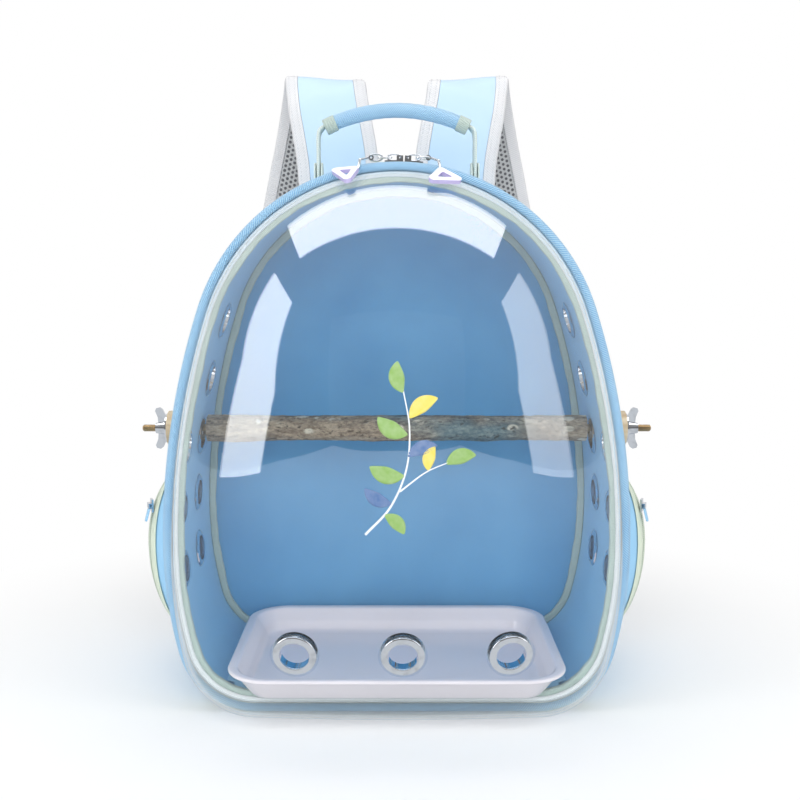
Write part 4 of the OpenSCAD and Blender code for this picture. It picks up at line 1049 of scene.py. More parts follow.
def strap_frame(points, count, cant=5.0):
    """Path, direction across and direction out of a strap. Where it runs level, it is canted by 5 degrees."""
    way = unit(np.gradient(points, axis=0))
    u = np.stack([way[:, 2], 0 * way[:, 2], -way[:, 0]], 1)
    u = u / (np.linalg.norm(u, axis=1)[:, None] + 1e-9) * np.sign(way[:, 2:3] + 1e-9)
    level = np.abs(way[:, 2]) < 0.5
    u[level] = (np.cos(np.radians(cant)), 0.0, np.sin(np.radians(cant)))
    path, across = smooth_path(points, count), smooth_path(u, count)
    t = unit(np.gradient(path, axis=0))
    across = unit(across - t * (across * t).sum(1)[:, None])
    return path, across, np.cross(across, t), t


def strap_half(a, thick):
    """Half the thickness at share a of the half width: 1 in the middle, drawn in to 0.4 at the edge."""
    return thick / 2 * (0.4 + 0.6 * (1 - np.abs(a) ** 3.2) ** 0.8)


def strap(side, word):
    flip = np.array([side, 1.0, 1.0])
    path, across, out, t = strap_frame(strap_points, 150)
    wide, thick = 0.068, 0.009
    a = np.sin(np.linspace(-1, 1, 26) * np.pi / 2) * 0.985
    ripple = 0.25 * np.sin(np.linspace(0, 60, 150))[:, None] * np.cos(a * 2)[None] * MM
    h = strap_half(a, thick)[None] + 0 * ripple
    spread = path[:, None] + across[:, None] * (a * wide / 2)[None, :, None]
    front = spread + out[:, None] * (h + ripple)[..., None]
    rear = spread - out[:, None] * (h - ripple * 0.5)[..., None]
    P = skins(front, rear) * flip
    verts, faces, maps = outwards(*grid(P, tube=True, ends=True))
    columns = np.r_[np.tile(np.arange(52), 149), np.zeros(104, int)]
    obj = piece(word + "_strap_cloth", verts, faces, [strap_cloth, pad_mesh], "shell", "strap_cloth", maps,
                replaces=word + "_strap_pad")
    obj.data.polygons.foreach_set("material_index", ((columns >= 25) & (columns < 51)).astype(np.int32))
    # binding: a folded tape round each edge
    for k, edge in enumerate((-1, 1)):
        w = np.linspace(0, 1, 9)
        b = 1 - w * 0.27
        hh = strap_half(b * 0.99, thick) + 0.45 * MM
        spot = path[:, None] + across[:, None] * (edge * b * wide / 2)[None, :, None]
        rise = out[:, None] * hh[None, :, None]
        over, under = spot + rise, spot - rise
        beyond = edge * (wide / 2 + np.array([0.5, 0.8, 0.5]) * MM)
        nose = path[:, None] + across[:, None] * beyond[None, :, None] + \
            out[:, None] * (np.array([0.9, 0.0, -0.9]) * MM)[None, :, None]
        skin = np.concatenate([over[:, ::-1], nose, under], 1)
        core = path[:, None] + (skin - path[:, None]) * 0.97
        P = skins(skin, core) * flip
        closed("%s_strap_binding_%d" % (word, k), P, strap_binding, "shell", "strap_cloth", ends=True)
        for row, at in enumerate((4, 10)):
            line = (over[:, 2 + row * 4] + out * 0.1 * MM) * flip
            stitches("%s_strap_thread_%d_%d" % (word, k, row), line, out * flip, "shell", "strap_cloth",
                     strap_thread, 2.2, 1.2, 0.35)


f = Finish("strap_thread")
strap_thread = f.surface(f.mix(f.noise(300.0), rgb(214, 216, 218), rgb(184, 188, 192)), 0.6)
strap(1, "right")
strap(-1, "left")


def webbing(side, word):
    path, across, out, t = strap_frame(web_points, 110)
    a = np.linspace(-1, 1, 12)
    h = 1.0 * MM * (0.55 + 0.45 * (1 - np.abs(a) ** 6))
    spread = path[:, None] + across[:, None] * (a * 0.0125)[None, :, None]
    P = skins(spread + out[:, None] * h[None, :, None], spread - out[:, None] * h[None, :, None])
    closed(word + "_webbing", P * np.array([side, 1.0, 1.0]), webbing_tape, "shell", "webbing", ends=True,
           replaces=word + "_strap_webbing")


webbing(1, "right")
webbing(-1, "left")
print("strap path %.0f mm" % (1000 * run_along(smooth_path(strap_points, 400))[-1]))

# %% [markdown]
# ## Pads
# The back pad and the floor pad are bags of foam. Each starts as a plain closed block in its packed
# place. Its cloth is then blown up in a short cloth simulation, with the seams held still, so that the
# cloth swells between them as real quilting does. The travel is capped, and no point passes the
# surface that the pad lies on.

# %% Pads
def puff(obj, cell, held, pressure, cap, low):
    """Remeshes a block into even cells, holds the points where held(points) is true, and inflates the rest
    for 20 frames. cap is the longest travel, low the plane that each coordinate must stay above."""
    cells = obj.modifiers.new("cells", "REMESH")
    cells.mode, cells.voxel_size = "VOXEL", cell
    seen = bpy.context.evaluated_depsgraph_get()
    mesh = bpy.data.meshes.new_from_object(obj.evaluated_get(seen))
    obj.modifiers.clear()
    obj.data = mesh
    start = np.empty(len(mesh.vertices) * 3, np.float32)
    mesh.vertices.foreach_get("co", start)
    start = start.reshape(-1, 3)
    group = obj.vertex_groups.new(name="held")
    group.add(np.flatnonzero(held(start)).tolist(), 1.0, "REPLACE")
    cloth = obj.modifiers.new("cloth", "CLOTH")
    cloth.settings.quality = 6
    cloth.settings.use_pressure = True
    cloth.settings.uniform_pressure_force = pressure
    cloth.settings.vertex_group_mass = "held"
    cloth.settings.effector_weights.gravity = 0.0
    cloth.point_cache.frame_start, cloth.point_cache.frame_end = 1, 20
    for frame_number in range(1, 21):
        bpy.context.scene.frame_set(frame_number)
    seen = bpy.context.evaluated_depsgraph_get()
    end = np.empty(len(mesh.vertices) * 3, np.float32)
    obj.evaluated_get(seen).data.vertices.foreach_get("co", end)
    obj.modifiers.clear()
    bpy.context.scene.frame_set(1)
    move = end.reshape(-1, 3) - start
    far = np.linalg.norm(move, axis=1)[:, None]
    end = np.maximum(start + move * np.minimum(1, cap / np.maximum(far, 1e-9)), low)
    mesh.vertices.foreach_set("co", end.astype(np.float32).ravel())
    mesh.polygons.foreach_set("use_smooth", np.ones(len(mesh.polygons), bool))
    rounder = obj.modifiers.new("rounder", "SUBSURF")
    rounder.levels = rounder.render_levels = 1
    print(obj.name, len(mesh.vertices), "points, longest travel %.1f mm" % (far.max() * 1000))


pad_z = np.array([0.105, 0.165, 0.225, 0.285])
pad = plate("back_padding", -0.056, 0.0782, 0.0895, back_mesh, "shell", "pad_mesh", rings=40, edge=4.0,
            replaces="back_pad")


def pad_seams(p):
    channel = (np.abs(p[:, 2:] - pad_z) < 0.0035).any(1) | (np.abs(p[:, 0]) < 0.0035)
    return (channel & (p[:, 1] > 0.080)) | (p[:, 1] < 0.0795)


puff(pad, 0.0042, pad_seams, 5.0, 0.004, np.array([-1.0, 0.0782, -1.0]))

bag_y = np.linspace(-0.0648, 0.0688, 40)
close = np.clip(np.sin(np.linspace(0, np.pi, 40)) * 6, 0.25, 1)
half_pad = 0.1315
bag_x = half_pad * np.sin(np.linspace(-1, 1, 60) * np.pi / 2)
arc = np.clip(np.abs(bag_x) - floor_half, 0, None)
under = corner_r - np.sqrt((corner_r - 0.0065) ** 2 - arc ** 2)
top = np.full(60, 0.0145)
x = np.concatenate([bag_x, bag_x[::-1]])
z = np.concatenate([top, np.minimum(under, 0.0143)[::-1]])
P = np.stack(np.broadcast_arrays(x[None], bag_y[:, None], 0.0103 + (z[None] - 0.0103) * close[:, None]), 2)
bag = closed("floor_padding", P, floor_cloth, "shell", "floor_cloth", ends=True, replaces="floor_pad")


def bag_seams(p):
    under_tray = (np.abs(p[:, 0]) < 0.110) & (p[:, 1] < 0.038)
    seam = (np.abs(np.abs(p[:, 0]) - 0.118) < 0.002) | (np.abs(p[:, 1] - 0.058) < 0.002)
    return under_tray | seam | (p[:, 2] < 0.0125)


puff(bag, 0.0035, bag_seams, 4.0, 0.0025, np.array([-1.0, -1.0, 0.0]))

# %% [markdown]
# Where a strap is sewn on, its end is folded under and stitched down in a box. The patch is a flat
# closed cushion of webbing, and a row of thread runs round it and across.

# %% Sewn patches
def patch(name, centre, half_x, half_z, y0, y1, body, node):
    """A flat patch in the plane of the back: a rounded rectangle carried from face to face, with its edge
    rounded."""
    w = np.linspace(0, TURN, 96, endpoint=False)
    c, s_ = np.cos(w), np.sin(w)
    r = (np.abs(c) ** 10 + np.abs(s_) ** 10) ** -0.1
    share = np.array([0.05, 0.4, 0.8, 0.96, 1.0, 1.0, 0.96, 0.8, 0.4, 0.05])
    depth = np.interp([0, 0, 0, 0.05, 0.25, 0.75, 0.95, 1, 1, 1], [0, 1], [y0, y1])
    x = centre[0] + c * r * half_x * share[:, None]
    z = centre[1] + s_ * r * half_z * share[:, None]
    P = np.stack([x, np.broadcast_to(depth[:, None], x.shape), z], 2)
    closed(name, P, webbing_tape, body, "webbing", ends=True, uv=P[..., [0, 2]], replaces=node)
    run = np.r_[np.arange(96), 0]
    line = np.stack([centre[0] + (c * r * half_x * 0.84)[run], np.full(97, y1 + 0.0001),
                     centre[1] + (s_ * r * half_z * 0.78)[run]], 1)
    stitches(name + "_thread", line, np.tile([0.0, 1.0, 0.0], (97, 1)), body, "webbing", strap_thread, 2.4,
             1.2, 0.4)
    for k, turn in enumerate((-1, 1)):
        t = np.linspace(-0.8, 0.8, 30)
        line = np.stack([centre[0] + t * half_x, np.full(30, y1 + 0.0001),
                         centre[1] + turn * t * half_z * 0.95], 1)
        stitches("%s_cross_%d" % (name, k), line, np.tile([0.0, 1.0, 0.0], (30, 1)), body, "webbing",
                 strap_thread, 2.4, 1.2, 0.4)


for side, word in SIDES:
    patch(word + "_strap_root", (side * 0.047, 0.360), 0.028, 0.0082, 0.0781, 0.0802, "shell",
          "strap_anchors")
    patch(word + "_strap_foot", (side * 0.130, 0.043), 0.0165, 0.011, 0.0781, 0.0811, "shell",
          "strap_anchors")

# %% [markdown]
# ## Pulls
# A short chain hangs from each slider: oval links of round wire, each turned a quarter against the one
# before. A wire goes on from the chain to a triangular plastic tab, white on its faces and lilac on its
# walls. The tab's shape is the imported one; its faces are told apart by their direction.

# %% Chains and tabs
def mesh_points(name):
    """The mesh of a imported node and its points."""
    mesh = frame["nodes"][name].data
    co = np.empty(len(mesh.vertices) * 3, np.float32)
    mesh.vertices.foreach_get("co", co)
    return mesh, co.reshape(-1, 3).astype(float)


def chain(word, start, end, links):
    """Links from start to end. A link is a circle pulled long: its wire follows an oval, ring by ring."""
    start, end = np.array(start), np.array(end)
    way = (end - start) / np.linalg.norm(end - start)
    level = np.array([0.0, 1.0, 0.0])
    up = np.cross(way, level)
    length = np.linalg.norm(end - start) / links * 1.42
    w = np.linspace(0, TURN, 36, endpoint=False)
    for k in range(links):
        mid = start + (end - start) * (k + 0.5) / links
        a = np.radians(-8 if k % 2 else 74)
        across = level * np.cos(a) + up * np.sin(a)
        c, s_ = np.cos(w), np.sin(w)
        bulge = np.sign(s_) * np.abs(s_) ** 0.8 * 2.4 * MM
        path = mid + way * (c * length / 2)[:, None] + across * bulge[:, None]
        loop = np.r_[path[-2:], path, path[:2]]
        normal = np.cross(way, across)
        P = tube(loop, 0.62 * MM, 10, up=normal)[2:-2]
        closed("%s_link_%d" % (word, k), P, chrome, word + "_chain", "chrome", hoop=True,
               replaces=(word + "_pull_chain",))


def tab(word, eye, knee, tip):
    """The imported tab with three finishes: chrome within a millimetre of the wire, white on the two flat
    faces, lilac on the walls between them."""
    mesh, co = mesh_points(word + "_pull_tab")
    co, same = np.unique(co.round(7), axis=0, return_inverse=True)
    same = same.ravel()
    faces = same[[list(p.vertices) for p in mesh.polygons]].tolist()
    obj = piece(word + "_tab", co, faces, [tab_white, tab_lilac, chrome], word + "_tab", "tab_plastic",
                replaces=word + "_pull_tab")
    mid = np.array([p.center for p in obj.data.polygons], float)
    way = np.array([p.normal for p in obj.data.polygons], float)
    area = np.array([p.area for p in obj.data.polygons])
    wire = np.zeros(len(mid), bool)
    for a, b in ((eye, knee), (knee, tip)):
        a, b = np.array(a), np.array(b)
        t = np.clip((mid - a) @ (b - a) / ((b - a) @ (b - a)), 0, 1)
        wire |= np.linalg.norm(mid - (a + t[:, None] * (b - a)), axis=1) < 1.15 * MM
    wire |= np.linalg.norm(mid - np.array(eye), axis=1) < 4.5 * MM
    rest = way[~wire] * area[~wire, None]
    values, axes = np.linalg.eigh(rest.T @ way[~wire])
    flat = np.abs(way @ axes[:, 2]) > 0.8
    index = np.where(wire, 2, np.where(flat, 0, 1))
    obj.data.polygons.foreach_set("material_index", index.astype(np.int32))
    obj.data.set_sharp_from_angle(angle=np.radians(35))
    soft = obj.modifiers.new("soft", "BEVEL")
    soft.width, soft.segments, soft.limit_method, soft.angle_limit = 0.35 * MM, 2, "ANGLE", np.radians(50)
    print(word, "tab:", int((index == 0).sum()), "faces white,", int((index == 1).sum()), "lilac")


def crown_height(x):
    """Height of the crown at x: the arc's middle plus the rest of a right triangle."""
    return crown_z + np.sqrt(crown_r ** 2 - x ** 2)


for side, word, eye_x, pivot, tip_x in ((-1, "left", -0.0180, (0.002453, -0.070, 0.403694), -0.0265),
                                        (1, "right", 0.0223, (0.007793, -0.070, 0.403514), 0.030)):
    eye = (eye_x, -0.070, pivot[2])
    chain(word, (pivot[0] + 0.001 * side, pivot[1], pivot[2]), eye, 3 if side < 0 else 2)
    knee = (tip_x - side * 0.001, -0.0848, float(crown_height(tip_x)) + 0.003)
    tip = (tip_x, -0.0895, float(crown_height(tip_x)) - 0.0032)
    tab(word, eye, knee, tip)

# %% [markdown]
# ## Handle
# The grip is a soft roll bent into an arch, with ribbed cloth round it. Its ends are bound with a
# braid, and a webbing leg comes down from each to a sewn patch on the crown.

# %% Handle
arch_r, arch_mid, handle_y, arch_end = 0.11861, 0.32389, -0.030, 26.54


def arch_tube(a0, a1, radius, count, sides=20):
    """Rings along the arch between two angles from the top."""
    w = np.radians(np.linspace(a0, a1, count))
    path = np.stack([arch_r * np.sin(w), np.full(count, handle_y), arch_mid + arch_r * np.cos(w)], 1)
    return tube(path, radius, sides, up=(0.0, 1.0, 0.0))


w = np.linspace(-1, 1, 120)
squeeze = 5.4 * MM * (1 - 0.05 * np.abs(w) ** 6) * (1 + 0.012 * np.sin(w * 40))
closed("grip_roll", arch_tube(-(arch_end - 3.6), arch_end - 3.6, squeeze, 120, 24), grip_cloth, "handle",
       "grip_cloth", ends=True, replaces="handle_grip")
for side, word in SIDES:
    w = np.linspace(0, 1, 26)
    turns = 5.95 * MM + 0.22 * MM * np.abs(np.sin(w * np.pi * 6)) - 0.5 * MM * np.clip(w * 8 - 7, 0, 1)
    P = arch_tube(side * (arch_end - 4.2), side * (arch_end + 0.1), turns, 26, 24)
    closed(word + "_grip_braid", P, wrap_braid, "handle", "wrap_braid", ends=True, replaces=("handle_wraps",))
    leg = np.array([(52.6, 431.4), (55.2, 429.4), (57.4, 426.4), (58.0, 421), (58.0, 412), (58.0, 404),
                    (58.0, 396), (58.0, 388.5)]) * MM
    path = smooth_path(np.stack([leg[:, 0] * side, 0 * leg[:, 0] + handle_y, leg[:, 1]], 1), 70)
    t = unit(np.gradient(path, axis=0))
    out = np.cross(np.tile([0.0, 1.0, 0.0], (70, 1)), t)
    a = np.linspace(-1, 1, 14)
    grow = np.clip(np.linspace(0, 6, 70), 0.45, 1)[:, None]
    end = np.sqrt(np.clip(1 - np.clip((0.3955 - path[:, 2]) / 0.0088, 0, 1) ** 2, 0.02, 1))[:, None]
    spread = path[:, None] + np.array([0, 1.0, 0]) * (a[None] * 0.009 * grow * end)[..., None]
    h = (1.4 * MM * (0.5 + 0.5 * (1 - np.abs(a) ** 5)))[None] + 0 * grow
    P = skins(spread + out[:, None] * h[..., None], spread - out[:, None] * h[..., None])
    closed(word + "_handle_leg", P, webbing_tape, "handle", "webbing", ends=True,
           replaces=("handle_webbing",))

# %% [markdown]
# Each leg ends between two ears of the same webbing, which come up from a patch sewn on the crown.

# %% Handle anchors
for side, word in SIDES:
    u = np.linspace(0.0475, 0.0685, 16)[:, None]
    v = np.linspace(-0.042, -0.018, 12)[None]
    high = np.sqrt((crown_r - 0.0022) ** 2 - u ** 2) + crown_z + 0 * v
    low = np.sqrt((crown_r - 0.0034) ** 2 - u ** 2) + crown_z + 0 * v
    u, v = np.broadcast_arrays(u, v)
    P = skins(np.stack([side * u, v, high], 2), np.stack([side * u, v, low], 2))
    closed(word + "_handle_patch", P, webbing_tape, "shell", "webbing", ends=True,
           replaces=("handle_anchors",))
    for e, (x0, x1) in enumerate(((0.0547, 0.0562), (0.0598, 0.0613))):
        w = np.linspace(0, np.pi, 24)
        loop = np.r_[np.stack([0.009 * np.cos(w), 0.3957 + 0.009 * np.sin(w)], 1),
                     [(-0.009, 0.3905), (-0.009, 0.3862), (0.009, 0.3862), (0.009, 0.3905)]]
        share = np.array([0.1, 0.7, 0.97, 1.0, 0.97, 0.7, 0.1])
        depth = np.interp([0, 0, 0.1, 0.5, 0.9, 1, 1], [0, 1], [x0, x1])
        mid = np.array([0.0, 0.393])
        flat = mid + (loop - mid)[None] * share[:, None, None]
        P = np.stack([side * np.broadcast_to(depth[:, None], flat.shape[:2]), handle_y + flat[..., 0],
                      flat[..., 1]], 2)
        closed("%s_handle_ear_%d" % (word, e), P, webbing_tape, "shell", "webbing", ends=True,
               replaces=("handle_anchors",))

# %% [markdown]
# ## Perch
# The perch is a real branch. Its bark has long furrows, knots and pale scars. The trunk of the piece is
# a tube whose radius is a sum of slow waves, a few bumps and a fine furrow noise. Each end is held by
# a threaded stud: the thread is a radius that rises and falls with the height along a screw line.

# %% Branch and studs
def bark_finish():
    """Bark: brown and grey furrows along the branch, dark pits, a blue-grey stretch in the middle, and many
    pale round scars."""
    f = Finish("bark")
    x, y, z = f.split(f.here())
    long_ = f.noise(150.0, 6.0, 0.7, stretch=(0.3, 1.0, 1.0))
    fine = f.noise(600.0, 4.0, 0.65, stretch=(0.5, 1.0, 1.0))
    far = f.add("TexVoronoi", {}, f.add("Mapping", {}, f.here(), Scale=(0.55, 1.0, 1.0)), Scale=95.0,
                Randomness=1.0, out="Distance")
    scars = (1 - far.step(0.22, 0.32)) * f.noise(70.0).step(0.44, 0.56)
    pits = (1 - f.noise(330.0, 3.0, 0.6, stretch=(0.6, 1.0, 1.0)).step(0.30, 0.44))
    brown = f.ramp(long_ * 0.6 + fine * 0.4, (0.32, rgb(88, 70, 56)), (0.46, rgb(142, 122, 102)),
                   (0.56, rgb(180, 160, 136)), (0.7, rgb(212, 196, 172)))
    grey = f.ramp(long_ * 0.6 + fine * 0.4, (0.32, rgb(58, 74, 80)), (0.46, rgb(92, 114, 122)),
                  (0.56, rgb(120, 138, 140)), (0.7, rgb(160, 170, 164)))
    middle = f.noise(14.0, 2.0).step(0.42, 0.62) * (1 - (x.size()).step(0.07, 0.13)) + 0.12
    tone = f.mix(middle, brown, grey)
    tone = f.mix(scars * 0.85, tone, rgb(222, 214, 196))
    tone = f.mix(pits * 0.7, tone, rgb(52, 42, 36))
    return f.surface(tone, 0.85 - fine * 0.15,
                     f.bump(long_ * 1.0 + fine * 0.5 + scars * 0.25 - pits * 0.5, 1.2))


bark = bark_finish()
half, perch_y, perch_z = 0.1537, 0.018, 0.198
n, m = 420, 64
x = np.linspace(-half, half, n)[:, None]
w = np.linspace(0, TURN, m, endpoint=False)[None]
knot_places = ((-0.128, 0.012, 4.6, 0.7, 0.9), (-0.055, 0.010, 1.2, 0.5, 0.8), (-0.02, 0.016, 4.9, 0.9, 0.7),
               (0.035, 0.011, 2.6, 0.5, 0.9), (0.072, 0.015, 4.4, 0.8, 1.0), (0.118, 0.010, 0.9, 0.5, 0.7))
knots = sum(a * np.exp(-((x - c) / l) ** 2 - (np.angle(np.exp(1j * (w - t))) / g) ** 2)
            for c, l, t, g, a in knot_places)
rough = (0.16 * np.sin(w * 9 + 14 * np.sin(x * 30)) + 0.12 * np.sin(w * 17 + x * 160 + 3 * np.sin(w * 3))
         + 0.1 * np.sin(x * 700 + w * 5) * np.sin(w * 7))
radius = (10.3 + 0.35 * np.sin(x * 38 + 1) + 0.3 * np.cos(w * 2 + x * 12) + knots * 1.1 + rough * 1.3) * MM
P = np.stack(np.broadcast_arrays(x, perch_y + radius * np.cos(w), perch_z + radius * np.sin(w)), 2)
closed("branch", P, bark, "shell", "bark", ends=True, sharp=60, replaces="perch_branch")


def stud(side, word):
    """The radius goes up and down once for each millimetre along a screw line: 2.45 at the root, 2.98 at
    the crest."""
    x0, x1 = 0.1282, 0.2067
    n, m = 620, 20
    x = np.linspace(x0, x1, n)[:, None]
    w = np.linspace(0, TURN, m, endpoint=False)[None]
    phase = np.abs(((x * 1000 + w / TURN) % 1.0) * 2 - 1)
    r = (2.45 + 0.53 * phase) * MM
    r = np.where(x < 0.1852, 2.9 * MM, r) - np.clip(x - 0.2057, 0, 1) * 1.0
    P = np.stack(np.broadcast_arrays(side * x, perch_y + r * np.cos(w), perch_z + r * np.sin(w)), 2)
    closed(word + "_stud_thread", P, stud_steel, "shell", "stud_steel", ends=True,
           replaces=word + "_perch_stud")


stud(1, "right")
stud(-1, "left")

# %% [markdown]
# ## Feeding tray
# The tray is moulded in one piece. Rounded rectangles, from the foot up over the rim and down to
# the bottom inside, are joined by smooth curves between them.

# %% Tray
tray_mid = -0.024


def tray_ring(grow, height, count=160):
    """A rounded rectangle: its straight sides shrink to a small core, and the corner radius grows."""
    r = 0.033 + grow
    hx, hy = 0.125 + grow - r, 0.086 + grow - r
    w = np.linspace(0, TURN, count, endpoint=False)
    c, s_ = np.cos(w), np.sin(w)
    x = np.clip(np.tan(np.clip(w % (np.pi / 2), 0, np.pi / 2 - 1e-6)), 0, 1)
    return np.stack([hx * np.clip(c * 40, -1, 1) + r * c, tray_mid + hy * np.clip(s_ * 40, -1, 1) + r * s_,
                     np.full(count, height)], 1)


profile = np.array([
    (-19.3, 14.75), (-17.4, 15.2), (-15.2, 17.4), (-10.5, 23.6), (-5.4, 30.4), (-4.6, 31.8),
    (-3.2, 32.0), (-1.3, 32.0), (-0.2, 32.6), (0.0, 33.4), (-0.3, 34.3), (-1.3, 34.85),
    (-3.6, 34.9), (-6.0, 34.6), (-7.4, 33.6), (-9.0, 31.0), (-12.6, 25.7), (-13.6, 23.7),
    (-15.6, 19.6), (-17.4, 17.8), (-20.4, 16.9), (-24.0, 16.7)]) * MM
fine = smooth_path(np.c_[profile, 0 * profile[:, 0]], 88)[:, :2]
P = np.stack([tray_ring(g, z) for g, z in fine])
closed("tray_moulding", P, tray_plastic, "tray", "tray_plastic", ends=True, replaces="feeding_tray")

# %% [markdown]
# ## Vents and pocket tags
# A vent is a chrome eyelet rolled over on the outside of the dome, with a clear gasket ring under it.
# The ring's section is a low half round, and it is turned about the vent's own direction. The tag of a
# pocket zip is a loop of ribbon, so it is soft and takes the pocket's colour.

# %% Vent rings and ribbon tags
def turned(point, way, section, count=96):
    """A closed section (radius, height in millimetres) turned about a line through point."""
    way = way / np.linalg.norm(way)
    a = np.cross(way, (1.0, 0.0, 0.0))
    a /= np.linalg.norm(a)
    b = np.cross(way, a)
    w = np.linspace(0, TURN, count, endpoint=False)[:, None, None]
    r, h = np.asarray(section, float).T[:, None, :, None] * MM
    return point + way * h + (np.cos(w) * a + np.sin(w) * b) * r


for k, x in enumerate(vent_x):
    point = np.array([x, RIM_Y - float(dome_height(x, vent_z)), vent_z])
    way = dome_way(x, vent_z)
    w = np.linspace(0, np.pi, 12)
    top = np.stack([12.25 - 2.3 * np.cos(w), 0.35 + 1.15 * np.sin(w)], 1)
    section = np.r_[[(9.95, -0.8), (9.93, -0.1)], top, [(14.5, -0.1), (12.0, -0.2), (10.4, -0.8)]]
    closed("vent_ring_%d" % k, turned(point, way, section), chrome, "door", "chrome", hoop=True,
           replaces="dome_eyelet_washers")
    gasket = np.array([(14.2, 0.0), (14.2, 0.5), (15.4, 0.75), (16.1, 0.55), (16.3, 0.1), (16.2, -0.3),
                       (15.0, -0.35)])
    closed("vent_gasket_%d" % k, turned(point, way, gasket), gasket_clear, "door", "clear_gasket", hoop=True)

for side, word in SIDES:
    mesh, co = mesh_points(word + "_pocket_pull")
    mid = co.mean(0)
    along, across, out = np.linalg.svd(co - mid, full_matrices=False)[2]
    along = along * np.sign(-along[2])
    reach = np.ptp((co - mid) @ along) / 2
    t = np.linspace(-1, 1, 40)
    # the loop starts just above its pin, so that it clears the zip when it is lifted. mid is the mean of
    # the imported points, which lies near the pin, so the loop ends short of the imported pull's tip
    pin = next(j for j in frame["joints"] if j["name"] == word + "_pocket_pull_swing")["pos_m"]
    head = max(float((np.array(pin) - mid) @ along) - 0.2 * MM, -reach * 0.98)
    path = mid + along * np.interp(t, (-1, 1), (head, reach * 0.98))[:, None]
    print(word, "ribbon %.1f mm long, packed pull %.1f mm" % ((reach * 0.98 - head) / MM, 2 * reach / MM))
    a = np.linspace(-1, 1, 10)
    h = 0.7 * MM * (0.5 + 0.5 * (1 - np.abs(a) ** 4))
    wide = 3.2 * MM * np.clip((1 - np.abs(t) ** 9) ** 0.5, 0.25, 1)
    spread = path[:, None] + across * (a[None] * wide[:, None])[..., None]
    P = skins(spread + out * h[None, :, None], spread - out * h[None, :, None])
    closed(word + "_pocket_ribbon", P, pocket_cloth, word + "_pocket_tag", "pocket_cloth", ends=True,
           replaces=word + "_pocket_pull")

# %% [markdown]
# ## Finishes of the parts that keep their imported shape
# Metal fittings, wooden collars, gaskets and buckles are right as they come. They get a finish.

# %% Imported parts
worn = {chrome: ["left_eyelets", "right_eyelets", "left_eyelet_washers", "right_eyelet_washers",
                 "dome_eyelets", "left_slider", "right_slider", "left_pocket_slider",
                 "right_pocket_slider", "left_washer", "right_washer", "left_wing_nut",
                 "right_wing_nut"],
        beech: ["left_perch_collar", "right_perch_collar"],
        buckle_plastic: ["left_strap_buckle", "right_strap_buckle"],
        floor_board: ["base_panel"]}
for finish, names in worn.items():
    for name in names:
        mesh = frame["nodes"][name].data
        mesh.materials.clear()
        mesh.materials.append(finish.material)

# %% [markdown]
# ## Stage and light
# A pale floor and three soft boxes: one overhead and one on each side, where the dome's reflections
# say they stood. A wide fill from the front reaches the back of the shell, and mirrors hardly show it.
# The world fills the shadows and is white to the camera. What mirrors see of it is dark towards the
# front and bright towards the back, which is what gives chrome its black edges.

# %% Stage
AMBIENT = 0.60


def stage_floor():
    f = Finish("floor")
    x, y, z = f.split(f.here())
    far = ((x * x + y * y) ** 0.5).step(0.24, 0.52)
    f.surface(rgb(250, 250, 250), 0.9)
    lit = f.out.inputs[0].links[0].from_socket
    seen = f.add("LightPath", {}, out="Is Camera Ray")
    mirrored = f.add("LightPath", {}, out="Is Glossy Ray")
    glow = f.add("Emission", {}, (1.0, 1.0, 1.0, 1.0), 1.0)
    dim = f.add("Emission", {}, (0.92, 0.96, 1.0, 1.0), 0.7)
    both = f.add("MixShader", {}, far * seen, Val(f, lit), glow)
    f.put(f.out.inputs[0], f.add("MixShader", {}, mirrored, both, dim))
    return f


floor = piece("floor", np.array([(-6, -6, 0), (6, -6, 0), (6, 6, 0), (-6, 6, 0)], float), [[0, 1, 2, 3]],
              stage_floor(), "shell", "wall_cloth")
floor.parent = None


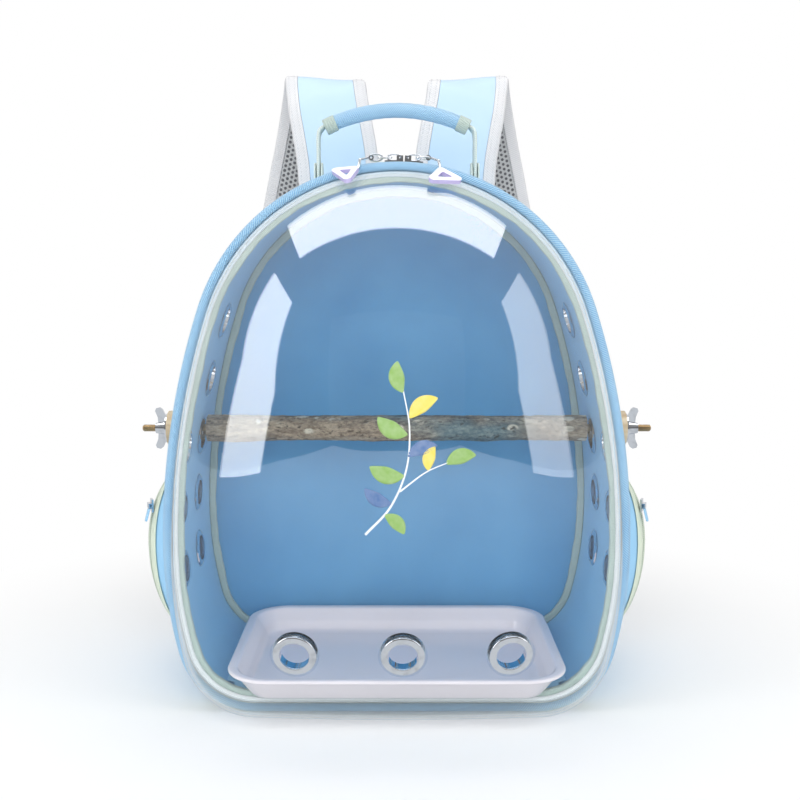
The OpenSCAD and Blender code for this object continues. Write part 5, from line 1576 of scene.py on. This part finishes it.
def soft_box(name, place, target, size, radiance, mirrored):
    """A rectangular lamp, made twice: one lights the cloth, the other, 2 cm ahead, is what mirrors show.
    The power of each is its radiance times pi times its area."""
    for part, level in (("light", radiance), ("mirror", mirrored)):
        lamp = bpy.data.lights.new(name + "_" + part, "AREA")
        lamp.shape, lamp.size, lamp.size_y = "RECTANGLE", size[0], size[1]
        lamp.energy = level * np.pi * size[0] * size[1]
        obj = bpy.data.objects.new(name + "_" + part, lamp)
        ahead = (Vector(target) - Vector(place)).normalized()
        obj.location = Vector(place) + ahead * (0.02 if part == "mirror" else 0.0)
        obj.rotation_euler = ahead.to_track_quat("-Z", "Y").to_euler()
        obj.visible_glossy, obj.visible_diffuse = part == "mirror", part == "light"
        bpy.context.scene.collection.objects.link(obj)


soft_box("top_box", (0.0, -0.13, 1.60), (0.0, -0.13, 0.36), (2.0, 0.78), 1.5, 3.1)
soft_box("left_box", (-1.30, -0.70, 0.78), (0.0, -0.70, 0.78), (0.66, 1.30), 1.5, 2.7)
soft_box("right_box", (1.30, -0.70, 0.78), (0.0, -0.70, 0.78), (0.66, 1.30), 1.2, 1.5)
soft_box("front_fill", (0.0, -2.60, 1.10), (0.0, 0.0, 0.22), (2.4, 1.8), 2.9, 0.05)

world = bpy.data.worlds.new("world")
bpy.context.scene.world = world
world.use_nodes = True
nodes, links = world.node_tree.nodes, world.node_tree.links
nodes.clear()
sky = nodes.new("ShaderNodeBackground")
sky.inputs["Color"].default_value = (1.0, 1.0, 1.0, 1.0)


def world_math(kind, *values):
    node = nodes.new("ShaderNodeMath")
    node.operation = kind
    for socket, value in zip(node.inputs, values):
        if isinstance(value, float):
            socket.default_value = value
        else:
            links.new(value, socket)
    return node.outputs[0]


path = nodes.new("ShaderNodeLightPath")
look = nodes.new("ShaderNodeTexCoord")
parts = nodes.new("ShaderNodeSeparateXYZ")
links.new(look.outputs["Generated"], parts.inputs[0])
back = world_math("MULTIPLY_ADD", parts.outputs["Y"], 0.30, 0.60)
lift = world_math("MAXIMUM", parts.outputs["Z"], 0.0)
mirrored = world_math("MULTIPLY_ADD", lift, 0.25, world_math("POWER", world_math("MAXIMUM", back, 0.02), 2.0))
ambient = world_math("MULTIPLY_ADD", path.outputs["Is Camera Ray"], 1.0 - AMBIENT, AMBIENT)
share = world_math("SUBTRACT", mirrored, ambient)
links.new(world_math("MULTIPLY_ADD", path.outputs["Is Glossy Ray"], share, ambient), sky.inputs["Strength"])
out = nodes.new("ShaderNodeOutputWorld")
links.new(sky.outputs[0], out.inputs[0])

# %% Close
print("scene set up")
